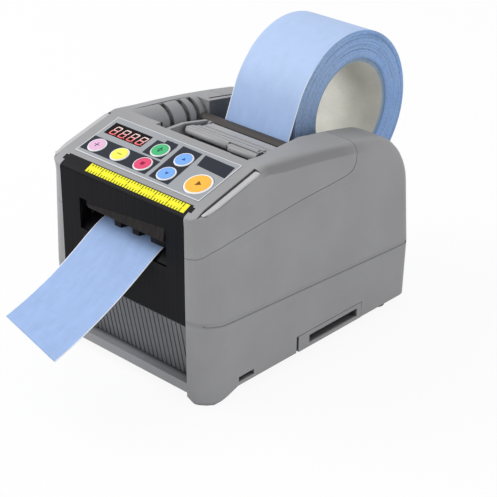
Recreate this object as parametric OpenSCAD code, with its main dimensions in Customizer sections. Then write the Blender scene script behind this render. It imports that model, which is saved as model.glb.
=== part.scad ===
// Electric tape dispenser: a countertop machine that draws tape off a roll at its back,
// feeds it between two rollers and cuts it off at the outlet in its front.
// Every module is written in the casing's own frame: y = 0 is the front face, z = 0 a leg's height above the floor.

/* [Casing] */
// Depth of the casing at its belt line
case_d = 208; // [196:0.5:230]
// Width of the casing at its belt line
belt_w = 156; // [150:1:176]
// Height of the belt line at the front corner
belt_front_z = 56; // [50:0.5:62]
// Height of the belt line at the rear corner
belt_rear_z = 46.5; // [40:0.5:52]
// Inward lean of the sides above the belt line, degrees
draft_up = 3; // [1:0.25:4]
// Inward lean of the sides below the belt line, degrees
draft_down = 1.2; // [0.5:0.1:3]
// Moulded wall
wall = 2.5; // [2:0.1:3]
// Corner round between the front face and the sides
front_corner_r = 19; // [14:0.5:22]
// Corner round between the rear face and the sides
rear_corner_r = 9; // [6:0.5:12]
// Height at which the front face turns back
front_h = 129.3; // [126:0.1:134]
// Large round between the ridge and the rear face
rear_r = 43; // [38:0.5:48]
// Round along the ridge
ridge_r = 8; // [6:0.5:10]
// Width of the roll well
well_w = 90; // [88:0.5:94]
// Height of the floor inside the roll well
well_floor_z = 61; // [58:0.5:63]

/* [Control panel] */
// Length of the chamfer under the panel
chamfer_l = 8.9; // [7:0.1:11]
// Slope of that chamfer, degrees
chamfer_tilt = 26.6; // [22:0.2:30]
// Length of the sloping panel
panel_l = 49; // [48:0.5:52]
// Slope of the panel, degrees
panel_tilt = 16; // [12:0.5:18]
// Width of the rounded border at the panel's sides
border_w = 6; // [5:0.25:8]
// Drop of that border
border_h = 4; // [3:0.25:6]
// Width of the printed overlay
overlay_w = 116; // [112:1:120]
// Length of the printed overlay
overlay_l = 41; // [39:0.5:43]
// Thickness of the overlay
overlay_t = 0.4; // [0.3:0.05:0.6]
// Radius of a small button
button_r = 6.9; // [6:0.1:7.4]
// Radius of the start button
start_r = 10; // [9:0.1:11]
// Spacing of the button columns
button_pitch = 22; // [20:0.25:23]
// Travel of a button
button_travel = 0.5; // [0.3:0.05:0.6]
// Width of the display window
display_w = 35.8; // [30:0.2:38]
// Height of the display window
display_h = 12.2; // [10:0.2:14]

/* [Front] */
// Width of the black outlet cover and of the ribbed panel below it
cover_w = 116; // [110:1:118]
// Height of the joint between the cover and the ribbed panel
cover_low_z = 54; // [50:0.5:58]
// Height of the bottom rail
rail_z = 11; // [10:0.5:14]
// Depth at which the foot of the ribbed panel lies
rib_recess = 8; // [6:0.5:10]
// Spacing of the ribs
rib_pitch = 4.26; // [3.6:0.02:5]
// Width of the grooves between them
rib_cut = 1; // [0.6:0.1:2]
// Left edge of the outlet
outlet_left = 40; // [37:0.5:44]
// Right edge of the outlet
outlet_right = 42; // [37:0.5:44]
// Lower edge of the outlet
outlet_low_z = 90.5; // [88:0.25:91]
// Upper edge of the outlet
outlet_high_z = 109; // [106:0.5:112]

/* [Tape] */
// Width of the tape
tape_w = 60; // [40:1:62]
// Thickness of the tape strip
tape_t = 0.4; // [0.3:0.05:0.6]
// Outer radius of the tape roll
roll_r = 59; // [50:0.5:60]
// Outer radius of the core
core_r = 39; // [38:0.25:42]
// Bore radius of the core
bore_r = 36; // [33:0.25:37]
// How far the core's ends stand back inside the roll
core_in = 1.6; // [0:0.1:3]
// Distance of the roll's axis behind the front face
roll_y = 193.5; // [191:0.5:196]
// Height of the roll's axis
roll_z = 135.3; // [134:0.1:140]
// Height of the tape path
web_z = 99; // [98.5:0.1:99.5]
// How far the hanging end reaches ahead of the front face
tail_reach = 80.8; // [60:0.2:110]
// Drop of the hanging end
tail_drop = 47.3; // [35:0.1:55]

/* [Feed and cutter] */
// Distance of the feed rollers behind the front face
feed_y = 40; // [39:0.5:41]
// Radius of the feed roller
feed_r = 10; // [9:0.1:10.5]
// Radius of the press roller
press_r = 8; // [7:0.1:9]
// Radius of the guide roller
guide_r = 6; // [5:0.1:7]
// Radius of the rollers that carry the tape roll at its front
cradle_front_r = 8; // [7:0.1:9]
// Radius of the rollers that carry the tape roll at its rear
cradle_rear_r = 6; // [5:0.1:6.5]
// Radius of the feed shaft
feed_shaft_r = 4; // [3:0.1:4.5]
// Radius of the other shafts and of the pins
shaft_r = 3; // [2.5:0.1:3.5]
// Distance of a frame plate's inner face from the middle
frame_x = 44; // [43:0.25:45]
// Thickness of a frame plate
frame_t = 2; // [1.5:0.1:2.5]
// Distance of the cutting line behind the front face
cut_y = 19.8; // [19:0.1:20.5]
// Swing of the cutter, degrees
cutter_swing = 13; // [10:0.5:14]
// Module of the gears
gear_m = 1; // [1:0.05:1.1]
// Teeth of the feed gear
feed_teeth = 30; // [28:2:32]
// Teeth of the full circle of the cutter's sector gear
sector_teeth = 32; // [30:2:34]
// Teeth of both motor pinions
pinion_teeth = 12; // [12:1:14]

/* [Clearances] */
// Radial play of a shaft in its bore
run_fit = 0.05; // [0.02:0.01:0.1]
// Gap between pieces that move past each other
part_gap = 0.3; // [0.2:0.05:0.4]
// Visible seam between moulded pieces
seam = 0.3; // [0.2:0.05:0.5]
// Height of the casing's lower edge over the middle of its sides
foot_h = 4; // [3:0.25:6]
// How far the feet reach below the zero plane of the casing
leg_h = 4; // [3:0.25:6]

/* [Hidden] */
$fn = 48;

// The origin lies on the floor under the middle of the whole machine, hanging tape and roll included.
front_y = (tail_reach - roll_y - roll_r) / 2;
// Lower edge of the two moulded legs at the front corners.
leg_low = 1 - leg_h;
// Reach of cutting shapes, above and past the outside of the machine.
top_z = 170;
far = 300;

// Half width of the casing at a point of its side, drafted both ways from the belt line.
belt_slope = (belt_rear_z - belt_front_z) / (case_d - front_corner_r - rear_corner_r);
function belt_z(y) = belt_front_z + belt_slope * (y - front_corner_r);
function half_w(y, z) =
    belt_w / 2 - (z > belt_z(y) ? tan(draft_up) * (z - belt_z(y)) : tan(draft_down) * (belt_z(y) - z));

// Side outline: points on arcs are found from the direction of travel, front to rear over the top.
function arc_pt(c, r, a) = [c[0] - r * sin(a), c[1] + r * cos(a)];
function arc_mid(p, r, a) = [p[0] + r * sin(a), p[1] - r * cos(a)];
function along(p, l, a) = [p[0] + l * cos(a), p[1] + l * sin(a)];
function steps(a, b, n) = [for (i = [0:n]) a + (b - a) * i / n];
nose_r = 3;
peak_r = 14;
ridge_tilt = 4.5;
tail_tilt = 11.5;
rear_tilt = 88.7;
rear_lean = 1;
nose_c = [nose_r, front_h];
chamfer_p = arc_pt(nose_c, nose_r, chamfer_tilt);
panel_p = along(chamfer_p, chamfer_l, chamfer_tilt);
peak_p = along(panel_p, panel_l, panel_tilt);
peak_c = arc_mid(peak_p, peak_r, panel_tilt);
ridge_p = arc_pt(peak_c, peak_r, -ridge_tilt);
ridge_run = case_d - rear_lean - rear_r * (sin(rear_tilt) - sin(tail_tilt)) - ridge_p[0];
long_r = ridge_run / (sin(tail_tilt) - sin(ridge_tilt));
long_c = arc_mid(ridge_p, long_r, -ridge_tilt);
crest_p = arc_pt(long_c, long_r, -tail_tilt);
rear_c = arc_mid(crest_p, rear_r, -tail_tilt);
function ridge_at(y) = long_c[1] + sqrt(long_r * long_r - (y - long_c[0]) * (y - long_c[0]));

// A station of the skin: outline point, direction of travel, point where its round meets the side, side round.
function station(p, a, d, s) = [p, a, [p[0] + d * sin(a), p[1] - d * cos(a)], s];
corner_tuck = 0.4;
corner_q = [front_corner_r, panel_p[1] + (front_corner_r - panel_p[0]) * tan(panel_tilt) - border_h];
stations = concat(
    [for (z = [leg_low, belt_front_z]) station([0, z], 90, front_corner_r, front_corner_r)],
    [station([0, front_h - 6], 90, front_corner_r - corner_tuck, front_corner_r)],
    [[[0, front_h], 90, corner_q - [0, 4.4], front_corner_r * 0.86]],
    [[arc_pt(nose_c, nose_r, 60), 60, corner_q - [-0.1, 3], front_corner_r * 0.72]],
    [[chamfer_p, chamfer_tilt, corner_q - [-0.5, 1.6], front_corner_r * 0.58]],
    [[panel_p, (chamfer_tilt + panel_tilt) / 2, corner_q - [-1.6, 0.5], front_corner_r * 0.44]],
    [[along(panel_p, 6, panel_tilt), panel_tilt, along(corner_q, 3.4, panel_tilt), border_w * 1.12]],
    [station(along(panel_p, 16, panel_tilt), panel_tilt, border_h, border_w)],
    [station(along(panel_p, panel_l - 8, panel_tilt), panel_tilt, border_h, border_w)],
    [for (a = steps(panel_tilt, -ridge_tilt, 4)) station(arc_pt(peak_c, peak_r, a), a, ridge_r * 0.8, border_w)],
    [for (a = steps(-ridge_tilt - 1, -tail_tilt, 6)) station(arc_pt(long_c, long_r, a), a, ridge_r, ridge_r)],
    [for (a = steps(-tail_tilt - 8, -rear_tilt, 9)) station(arc_pt(rear_c, rear_r, a), a, rear_corner_r, rear_corner_r)],
    [station([case_d, belt_rear_z], -90, rear_corner_r, rear_corner_r)],
    [station([case_d - tan(draft_down) * (belt_rear_z - leg_low), leg_low], -90, rear_corner_r, rear_corner_r)]
);
belt_first = 1;
belt_last = len(stations) - 2;

// The casing's skin, or the same skin set inward by a wall, as one lofted surface.
module case_skin(inset, n_round = 6) {
    rows = len(stations);
    cols = 2 * (n_round + 1);
    turn = [for (j = [0:n_round]) 90 - 90 * j / n_round];
    function skin_pt(s, f, side, low) =
        let (
            p = s[0] + inset * [sin(s[1]), -cos(s[1])],
            g = p + (s[2] - p) * (1 - cos(f)),
            r = max(s[3] - inset, 1),
            x = half_w(g[0], g[1]) - inset - r * (1 - sin(f))
        ) [side * x, g[0], g[1] - low];
    pts = [
        for (i = [0:rows - 1], side = [-1, 1], j = [0:n_round])
            skin_pt(stations[i], side < 0 ? turn[j] : turn[n_round - j], side,
                (i == 0 || i == rows - 1) && inset > 0 ? wall : 0)
    ];
    function at(i, j) = i * cols + j;
    quads = [for (i = [0:rows - 2], j = [0:cols - 2]) [at(i, j), at(i + 1, j), at(i + 1, j + 1), at(i, j + 1)]];
    right_top = [for (i = [belt_first:belt_last]) at(i, cols - 1)];
    right_low = concat([for (i = [0:belt_first]) at(i, cols - 1)], [for (i = [belt_last:rows - 1]) at(i, cols - 1)]);
    left_top = [for (i = [belt_last:-1:belt_first]) at(i, 0)];
    left_low = concat([for (i = [rows - 1:-1:belt_last]) at(i, 0)], [for (i = [belt_first:-1:0]) at(i, 0)]);
    floor_face = concat([for (j = [0:cols - 1]) at(0, j)], [for (j = [cols - 1:-1:0]) at(rows - 1, j)]);
    polyhedron(pts, concat(
        [for (q = quads) [q[0], q[1], q[2]]],
        [for (q = quads) [q[0], q[2], q[3]]],
        [right_top, right_low, left_top, left_low, floor_face]
    ));
}

// Helpers that set a piece in the machine.
module placed() translate([0, front_y, leg_h]) children();
module side_plate(x0, x1) translate([x0, 0, 0]) rotate([90, 0, 90]) linear_extrude(x1 - x0) children();
module rod(x0, x1, y, z, r) translate([x0, y, z]) rotate([0, 90, 0]) cylinder(h = x1 - x0, r = r);
module block(x0, x1, y0, y1, z0, z1) translate([x0, y0, z0]) cube([x1 - x0, y1 - y0, z1 - z0]);
module on_panel() translate([0, panel_p[0], panel_p[1]]) rotate([panel_tilt, 0, 0]) children();

// Control panel layout, measured along the panel from its front edge.
overlay_v = 4.3;
row_v = 15;
rear_row_v = 31.4;
first_u = -47.2;
start_u = 45.8;
start_v = 17;
display_u = -36.3;
display_v = 33.8;
led_u = -2.2;
led_v = 40.9;
led_r = 1.5;
small_buttons = [
    [first_u, row_v], [first_u + button_pitch, row_v], [first_u + 2 * button_pitch, row_v],
    [first_u + 2 * button_pitch, rear_row_v], [first_u + 3 * button_pitch, rear_row_v],
    [first_u + 3 * button_pitch, row_v]
];
board_w = 10;
board_t = 1.6;
switch_h = 3.8;
cap_low = board_w - switch_h - button_travel - part_gap;
flange_t = 1;
flange_w = 0.8;
proud = 0.5;

// Top deck behind the panel.
recess_y = 60;
flap_y = 84;
flap_pin_y = 110;
flap_pin_z = 133;
knuckle_r = 3;
deck_w = 71.4;
deck_x = 7;
deck_left = deck_x - deck_w / 2;
deck_right = deck_x + deck_w / 2;
ear_w = 2.7;
flap_w = deck_w - 2 * ear_w;
deck_z = 129.5;
gap_end_y = 128;
parting_y = 148;
ramp = [[deck_right, deck_z + 9], [deck_right + 13.5, deck_z + 19]];
ramp_tilt = 2.5;
ledge_u = 66.8;
ledge_h = 2.2;
lug_w = 2.4;
lug_l = [3.6, 7.4];
belt_cut_w = 2;
belt_cut_h = 0.8;
belt_cut_y = 4;

// Parting line between the two halves of the casing, and the part of space above it.
parting = [
    [-far, 103], [0, 103], [3, 103.8], [6, 105.7], [9.5, 108.2], [14, 109.7], [20, 110.8], [31, 111.9], [60, 114.4],
    [91, 116.9], [111, 117.8], [127, 118.5], [138, 119.3], [143.5, 121.2], [146.8, 125], [parting_y, 131],
    [parting_y, top_z], [-far, top_z]
];
module above_parting(drop) side_plate(-far, far)
    polygon([for (p = parting) [p[0] + (p[0] > 100 ? drop : 0), p[1] - (p[1] < top_z ? drop : 0)]]);

// Roll, its cradle and the path of the tape.
function cradle_pt(r, a) = [roll_y + (roll_r + r + part_gap) * sin(a), roll_z - (roll_r + r + part_gap) * cos(a)];
cradle_front_a = -40;
cradle_rear_a = 6.6;
cradle_front = cradle_pt(cradle_front_r, cradle_front_a);
cradle_rear = cradle_pt(cradle_rear_r, cradle_rear_a);
leave_a = 22.8;
web_half = tape_t / 2;
web_gap = web_half + part_gap;
leave_r = roll_r + web_gap;
leave_p = [roll_y - leave_r * cos(leave_a), roll_z + leave_r * sin(leave_a)];
guide_z = web_z + web_gap + guide_r;
guide_wrap = guide_r + web_gap;
guide_y = leave_p[0] - (guide_wrap + (leave_p[1] - guide_z) * sin(leave_a)) / cos(leave_a);
feed_z = web_z - web_gap - feed_r;
press_z = web_z + web_gap + press_r;
feed_half = tape_w / 2 + 1;

// Feed gears, cutter and the frame plates that carry them.
gear_x = 37.5;
gear_w = 4.5;
arm_x = 33.5;
arm_t = 3;
pivot_y = 62;
pivot_z = web_z + 17;
feed_dir = -50;
sector_dir = -35;
feed_dist = gear_m * (feed_teeth + pinion_teeth) / 2;
sector_dist = gear_m * (sector_teeth + pinion_teeth) / 2;
feed_pinion_p = [feed_y + feed_dist * cos(feed_dir), feed_z + feed_dist * sin(feed_dir)];
cutter_pinion_p = [pivot_y + sector_dist * cos(sector_dir), pivot_z + sector_dist * sin(sector_dir)];
motor_r = 13;
motor_room = 7.5;
motor_l = belt_w / 2 - wall - motor_room - frame_x - frame_t;
motor_shaft_r = 2;
bush_r = shaft_r + 2.5;
feed_bush_r = feed_shaft_r + 2.5;
base_top = foot_h + 2.5;
stand_h = 7;
stand_in = 6;
board_x = well_w / 2 + 7;
board_y = [gap_end_y + 10, case_d - 16];
frame_top = 124;
frame_front = 14;
frame_rear = guide_y + 7.5;
rod_z = web_z - web_gap - 1.5 - shaft_r;
rod_y = [60, 96];
blade_t = 0.8;

// Involute outline of a spur gear.
function inv(a) = tan(a) * 180 / PI - a;
function gear_pts(n, backlash = 0.16) =
    let (
        rp = gear_m * n / 2, rb = rp * cos(20), ra = rp + gear_m, rf = rp - 1.25 * gear_m,
        half = 90 / n - backlash / 2 / rp * 180 / PI,
        radii = [for (t = [0:3]) max(rb, rf) + (ra - max(rb, rf)) * t / 3],
        lean = [for (r = radii) half + inv(20) - inv(acos(min(1, rb / r)))]
    )
    [for (k = [0:n - 1]) each concat(
        [rf * [cos(360 * k / n - lean[0] - 1), sin(360 * k / n - lean[0] - 1)]],
        [for (t = [0:3]) radii[t] * [cos(360 * k / n - lean[t]), sin(360 * k / n - lean[t])]],
        [for (t = [3:-1:0]) radii[t] * [cos(360 * k / n + lean[t]), sin(360 * k / n + lean[t])]],
        [rf * [cos(360 * k / n + lean[0] + 1), sin(360 * k / n + lean[0] + 1)]]
    )];
// Turn of a pinion that sets its teeth in the gaps of the gear it meets in direction a.
function mesh_turn(a, n_gear, n_pinion) = a + 180 + (a * n_gear - 180) / n_pinion;

// Casing.

module panel_cutouts() on_panel() {
    for (b = small_buttons)
        translate([b[0], b[1], -far]) cylinder(h = 2 * far, r = button_r + part_gap);
    translate([start_u, start_v, -far]) cylinder(h = 2 * far, r = start_r + part_gap);
    translate([led_u, led_v, -far]) cylinder(h = 2 * far, r = led_r + run_fit);
    translate([display_u - display_w / 2 - 0.1, display_v - display_h / 2 - 0.1, -far])
        cube([display_w + 0.2, display_h + 0.2, 2 * far]);
}

module left_shoulder_scoop() {
    r = 14;
    tilt = atan((ridge_at(66) - ridge_at(124)) / 58);
    translate([-half_w(93, ridge_at(93)) + 13, recess_y + 3, ridge_at(recess_y + 3) - r]) rotate([-tilt, 0, 0]) {
        difference() {
            translate([0, 0, 0.5]) cube([40, 63, 40]);
            translate([0, -1, 0]) rotate([-90, 0, 0]) cylinder(h = 70, r = r);
        }
        translate([11, 13.5, -4.5]) cube([7, 6.5, 10]);
        for (v = [29, 45, 55])
            translate([0, v - 2.2, 0]) rotate([-90, 0, 0]) intersection() {
                difference() {
                    cylinder(h = 4.4, r = r + 8);
                    translate([0, 0, -1]) cylinder(h = 8, r = r - 3);
                }
                translate([1, -40, -1]) cube([40, 40, 10]);
            }
    }
}

module inner_walls() {
    hw = well_w / 2;
    for (side = [-1, 1]) {
        x = side > 0 ? hw : -hw - wall;
        block(x, x + wall, gap_end_y - 6, far, well_floor_z - wall, top_z);
        block(x, x + wall, recess_y - wall, gap_end_y, deck_z - wall, top_z);
    }
    block(-hw - wall, hw + wall, gap_end_y - wall, far, well_floor_z - wall, well_floor_z);
    block(-hw - wall, hw + wall, gap_end_y - wall, gap_end_y, well_floor_z - wall, frame_top - 12);
    block(-hw - wall, hw + wall, recess_y - wall, recess_y, deck_z - wall, top_z);
    block(-hw - wall, hw + wall, recess_y - wall, gap_end_y, deck_z - wall, deck_z);
    block(deck_right, hw + wall, recess_y - wall, flap_pin_y + 4, deck_z - wall, top_z);
    block(-belt_w / 2 + 8, deck_left, recess_y - wall, gap_end_y, deck_z - wall, top_z);
    shoulder_ramp(wall, 0);
    block(-cover_w / 2 - wall, cover_w / 2 + wall, 0, rib_recess + 2 * wall, rail_z - wall, rail_z);
    for (side = [0, 1]) mirror([side, 0, 0]) on_panel()
        block(ledge_u - wall, half_w(0, front_h), -chamfer_l, panel_l, -ledge_h - wall, 0);
}

// Slope from the right shoulder down to the end of the flap.
module shoulder_ramp(low, out) translate([0, recess_y - low, ramp[0][1]]) rotate([90 + ramp_tilt, 0, 0])
    translate([0, 0, recess_y - gap_end_y - low]) linear_extrude(gap_end_y - recess_y + low) polygon([
        [ramp[0][0] - out, -low], [ramp[1][0], ramp[1][1] - ramp[0][1] - low], [ramp[1][0], far], [ramp[0][0] - out, far]]);

// Shallow groove that runs along the belt line and round the corners.
module belt_groove() difference() {
    for (side = [0, 1]) mirror([side, 0, 0])
        translate([cover_w / 2 + 2, front_corner_r, belt_front_z]) rotate([atan(belt_slope), 0, 0])
            translate([0, belt_cut_y - front_corner_r, -belt_cut_w / 2]) cube([far, case_d - 2 * belt_cut_y, belt_cut_w]);
    case_skin(belt_cut_h);
}

// Everything under the casing's lower edge, save the legs at the front corners.
module under_edge() {
    side_plate(-far, far) polygon([[9, leg_low], [29, foot_h], [far, foot_h], [far, -far], [9, -far]]);
    in = cover_w / 2 + seam;
    translate([0, front_corner_r + 11, 0]) rotate([90, 0, 0]) linear_extrude(front_corner_r + 12) polygon([
        [-in - 6, leg_low], [-in, foot_h - 3], [-in, foot_h], [in, foot_h], [in, foot_h - 3], [in + 6, leg_low],
        [in + 6, -far], [-in - 6, -far]]);
}

// Strip of the chamfer between two distances from its front edge, from a depth up.
function chamfer_pt(l, h) = along(chamfer_p, l, chamfer_tilt) + h * [-sin(chamfer_tilt), cos(chamfer_tilt)];
module chamfer_strip(l0, l1, low, high)
    polygon([chamfer_pt(l0, low), chamfer_pt(l1, low), chamfer_pt(l1, high), chamfer_pt(l0, high)]);

module casing_body() difference() {
    union() {
        difference() {
            case_skin(0);
            case_skin(wall, 3);
        }
        intersection() {
            case_skin(wall / 2, 3);
            inner_walls();
        }
    }
    left_shoulder_scoop();
    block(deck_left, deck_right, recess_y, flap_pin_y + 5, deck_z, top_z);
    block(-well_w / 2, well_w / 2, flap_pin_y + 4, gap_end_y + 1, deck_z, top_z);
    shoulder_ramp(0, 1);
    for (side = [0, 1]) mirror([side, 0, 0]) on_panel()
        block(ledge_u, far, -2 * chamfer_l, panel_l - 2, -ledge_h, far);
    difference() {
        block(-well_w / 2 - 6, -well_w / 2 - 4.2, gap_end_y + 4, case_d - 14, well_floor_z, top_z);
        case_skin(1.2, 3);
    }
    belt_groove();
    under_edge();
    side_plate(-cover_w / 2 - lug_w - seam, cover_w / 2 + lug_w + seam)
        chamfer_strip(lug_l[0] - seam, lug_l[1] + seam, -wall - 1, far);
    block(-tape_w / 2 - 3, tape_w / 2 + 3, flap_pin_y + 2.5, gap_end_y + 1, deck_z - 2 * wall, top_z);
    block(-well_w / 2, well_w / 2, gap_end_y, far, well_floor_z + 5, top_z);
    block(-cover_w / 2 - seam, cover_w / 2 + seam, -1, front_corner_r, rail_z, front_h - 4);
    side_plate(-cover_w / 2 - seam, cover_w / 2 + seam)
        polygon([[-1, front_h - 5], [front_corner_r, front_h - 5], [panel_p[0] + 2, panel_p[1] - wall - 1],
            [panel_p[0] + seam / 2, panel_p[1] - wall - 1], [panel_p[0] + seam / 2, top_z], [-1, top_z]]);
}

module upper_case() color("#a6a8ab") placed() {
    difference() {
        intersection() {
            casing_body();
            above_parting(0);
        }
        panel_cutouts();
    }
    // Ears that hold the flap's pin, and the rim along the flap's left side.
    translate([deck_x, 0, 0]) for (side = [0, 1]) mirror([side, 0, 0]) difference() {
        side_plate(flap_w / 2 + part_gap, deck_w / 2 + 0.5) polygon(concat(
            [[flap_pin_y - 4, deck_z - 1]],
            [for (a = steps(180, 0, 8)) [flap_pin_y, flap_pin_z] + 4 * [cos(a), sin(a)]],
            [[flap_pin_y + 2, deck_z - 1]]
        ));
        rod(0, far, flap_pin_y, flap_pin_z, 1.5 + run_fit);
    }
    side_plate(deck_left - 3, deck_left) polygon([[recess_y + 4, deck_z - 1], [recess_y + 4, deck_z + 9],
        [recess_y + 10, deck_z + 13], [flap_y + 3, deck_z + 12.6], [flap_pin_y, deck_z + 8],
        [flap_pin_y + 2, deck_z + 5], [flap_pin_y + 2, deck_z - 1]]);
    on_panel() for (u = [-1, 1], v = [5.6, panel_l - 5])
        translate([u * (overlay_w / 2 - 4), v, -board_w]) cylinder(h = board_w - wall / 2, r = 2.6);
}

cradle_list = [cradle_front, cradle_rear];
switch_x = 34;
jack_x = -38;
socket_z = 28;
clip_y = [86, 154.5];

module lower_case() color("#8e9094") placed() difference() {
    union() {
        difference() {
            casing_body();
            above_parting(seam);
        }
        intersection() {
            case_skin(wall / 2, 3);
            for (side = [-1, 1], y = [34, case_d - 34])
                translate([side * (half_w(y, base_top) - wall - 3.4), y, base_top]) cylinder(h = 16, r = 4.4);
        }
    }
    for (c = cradle_list) rod(-well_w / 2 - 2 * wall, well_w / 2 + 2 * wall, c[0], c[1], shaft_r + run_fit);
    for (side = [-1, 1], y = [34, case_d - 34])
        translate([side * (half_w(y, base_top) - wall - 3.4), y, base_top - 1]) cylinder(h = 13, r = 1.5);
    block(switch_x - 6.5 - run_fit, switch_x + 6.5 + run_fit, case_d - 12, far,
        socket_z - 9.5 - run_fit, socket_z + 9.5 + run_fit);
    translate([jack_x, case_d - 12, socket_z]) rotate([-90, 0, 0]) cylinder(h = 40, r = 5 + run_fit);
    block(belt_w / 2 - 12, far, clip_y[0], clip_y[1], 0, 16.5);
    block(belt_w / 2 - 9, far, 29.5, 44, 6.8, 10.4);
}

module base_outline(gap) {
    r = front_corner_r - wall - gap + 2;
    w = half_w(case_d, foot_h) - wall - gap - 0.8;
    y0 = wall + gap;
    y1 = case_d - wall - gap - 1.5;
    polygon(concat(
        [for (a = steps(180, 270, 8)) [-w + r + r * cos(a), y0 + r + r * sin(a)]],
        [for (a = steps(270, 360, 8)) [w - r + r * cos(a), y0 + r + r * sin(a)]],
        [[w, y1 - rear_corner_r], [w - rear_corner_r, y1], [-w + rear_corner_r, y1], [-w, y1 - rear_corner_r]]
    ));
}

module base_plate() color("#3c3e42") placed() difference() {
    union() {
        translate([0, 0, foot_h]) linear_extrude(base_top - foot_h) base_outline(part_gap);
        for (u = [-1, 1], y = [board_y[0] + stand_in, board_y[1] - stand_in])
            translate([u * (board_x - stand_in - 2), y, base_top]) cylinder(h = stand_h, r = 3);
    }
    block(belt_w / 2 - 13, far, clip_y[0] - 1, clip_y[1] + 1, 0, 20);
    for (side = [-1, 1], y = [34, case_d - 34])
        translate([side * (half_w(y, base_top) - wall - 3.4), y, -1]) cylinder(h = 20, r = 1.7);
}

module rubber_feet() color("#232426") placed()
    for (side = [-1, 1], y = [13.5, case_d - 20])
        translate([side * (belt_w / 2 - 15.5), y, -leg_h]) difference() {
            cylinder(h = leg_h + foot_h, r1 = 7, r2 = 7.6);
            translate([0, 0, -1]) cylinder(h = 2.2, r = 2.6);
        }

module base_screws() color("#b9bcc0") placed()
    for (side = [-1, 1], y = [34, case_d - 34])
        translate([side * (half_w(y, base_top) - wall - 3.4), y, 0]) {
            translate([0, 0, foot_h - 1.6]) cylinder(h = 1.6, r = 2.8);
            translate([0, 0, foot_h - 1]) cylinder(h = 12, r = 1.4);
        }

// Front.

module front_cover() color("#1f2023") placed() {
    hw = cover_w / 2;
    hood = 6;
    difference() {
        side_plate(-hw, hw) polygon(concat(
            [[0, cover_low_z + seam / 2]],
            [for (a = steps(90, chamfer_tilt, 5)) arc_pt(nose_c, nose_r, a)],
            [panel_p - [seam / 2, seam / 2 * tan(chamfer_tilt)]],
            [panel_p + wall * [sin(chamfer_tilt), -cos(chamfer_tilt)] - [seam / 2 + 1, 0.5]],
            [for (a = steps(chamfer_tilt, 90, 3)) arc_pt(nose_c, nose_r - wall, a)],
            [[wall, cover_low_z + seam / 2]]
        ));
        block(-outlet_left, outlet_right, -1, wall + 1, outlet_low_z, outlet_high_z);
        block(-outlet_left, -outlet_left + 7, -1, wall + 1, outlet_low_z, outlet_high_z + 4);
    }
    side_plate(-hw - lug_w, hw + lug_w) chamfer_strip(lug_l[0], lug_l[1], -wall, 0);
    // Hood over the outlet, cut back at its left end, with the teeth of the finger guard under it.
    side_plate(-outlet_left + 7, outlet_right) polygon([[wall - 0.5, outlet_high_z], [wall + hood, outlet_high_z - 4],
        [wall + hood, outlet_high_z - 2], [wall - 0.5, outlet_high_z + 5]]);
    for (x = [-6, 11, 28])
        side_plate(x, x + (x > 20 ? 14 : 6)) polygon([[0.2, outlet_high_z + 1], [0.2, outlet_high_z - 5],
            [wall + hood, outlet_high_z - 6.5], [wall + hood, outlet_high_z - 2]]);
    // Chute under the outlet that carries the tape from the cutting line to the lip.
    side_plate(-outlet_left, outlet_right) polygon([[wall - 0.5, outlet_low_z - 4], [wall - 0.5, outlet_low_z],
        [6, web_z - 5.6], [10, web_z - 2.8], [14, web_z - web_gap - 0.6], [cut_y - 2.6, web_z - web_gap],
        [cut_y - 2.6, web_z - 2.6], [13, web_z - 3.4], [7, web_z - 9]]);
}

module rib_panel() color("#6c6e71") placed() {
    hw = cover_w / 2;
    drop = cover_low_z - rail_z;
    lean = atan(rib_recess / drop);
    l = drop / cos(lean) - seam - 2 * wall * sin(lean);
    n = floor((cover_w - 3) / rib_pitch);
    translate([0, 0, cover_low_z - seam / 2 - wall * sin(lean)]) rotate([lean, 0, 0]) translate([0, 0, -l])
        linear_extrude(l) difference() {
            translate([-hw, 0]) square([cover_w, wall]);
            for (i = [0:n - 1]) translate([(i - (n - 1) / 2) * rib_pitch - rib_cut / 2, -0.1]) square([rib_cut, 0.8]);
        }
}

module panel_overlay() color("#aeb6bf") placed() difference() {
    on_panel() translate([-overlay_w / 2, overlay_v, 0]) cube([overlay_w, overlay_l, overlay_t]);
    panel_cutouts();
}

module display_window() color("#120606") placed() on_panel()
    translate([display_u - display_w / 2, display_v - display_h / 2, -wall])
        cube([display_w, display_h, wall + overlay_t]);

module display_module() color("#2b2c2e") placed() on_panel()
    translate([display_u - display_w / 2 - 0.8, display_v - display_h / 2 - 0.8, -board_w])
        cube([display_w + 1.6, display_h + 1.6, board_w - wall - 0.1]);

module status_led() color("#3a3d44") placed() on_panel()
    translate([led_u, led_v, -board_w]) cylinder(h = board_w + overlay_t, r = led_r);

module control_board() color("#2f6b46") placed() on_panel()
    translate([-overlay_w / 2, 3.6, -board_w - board_t]) cube([overlay_w, panel_l - 7.4, board_t]);

module tact_switches() color("#33353a") placed() on_panel()
    for (b = concat(small_buttons, [[start_u, start_v]])) translate([b[0] - 3, b[1] - 3, -board_w]) {
        cube([6, 6, switch_h - 0.6]);
        translate([3, 3, 0]) cylinder(h = switch_h, r = 1.7);
    }

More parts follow.
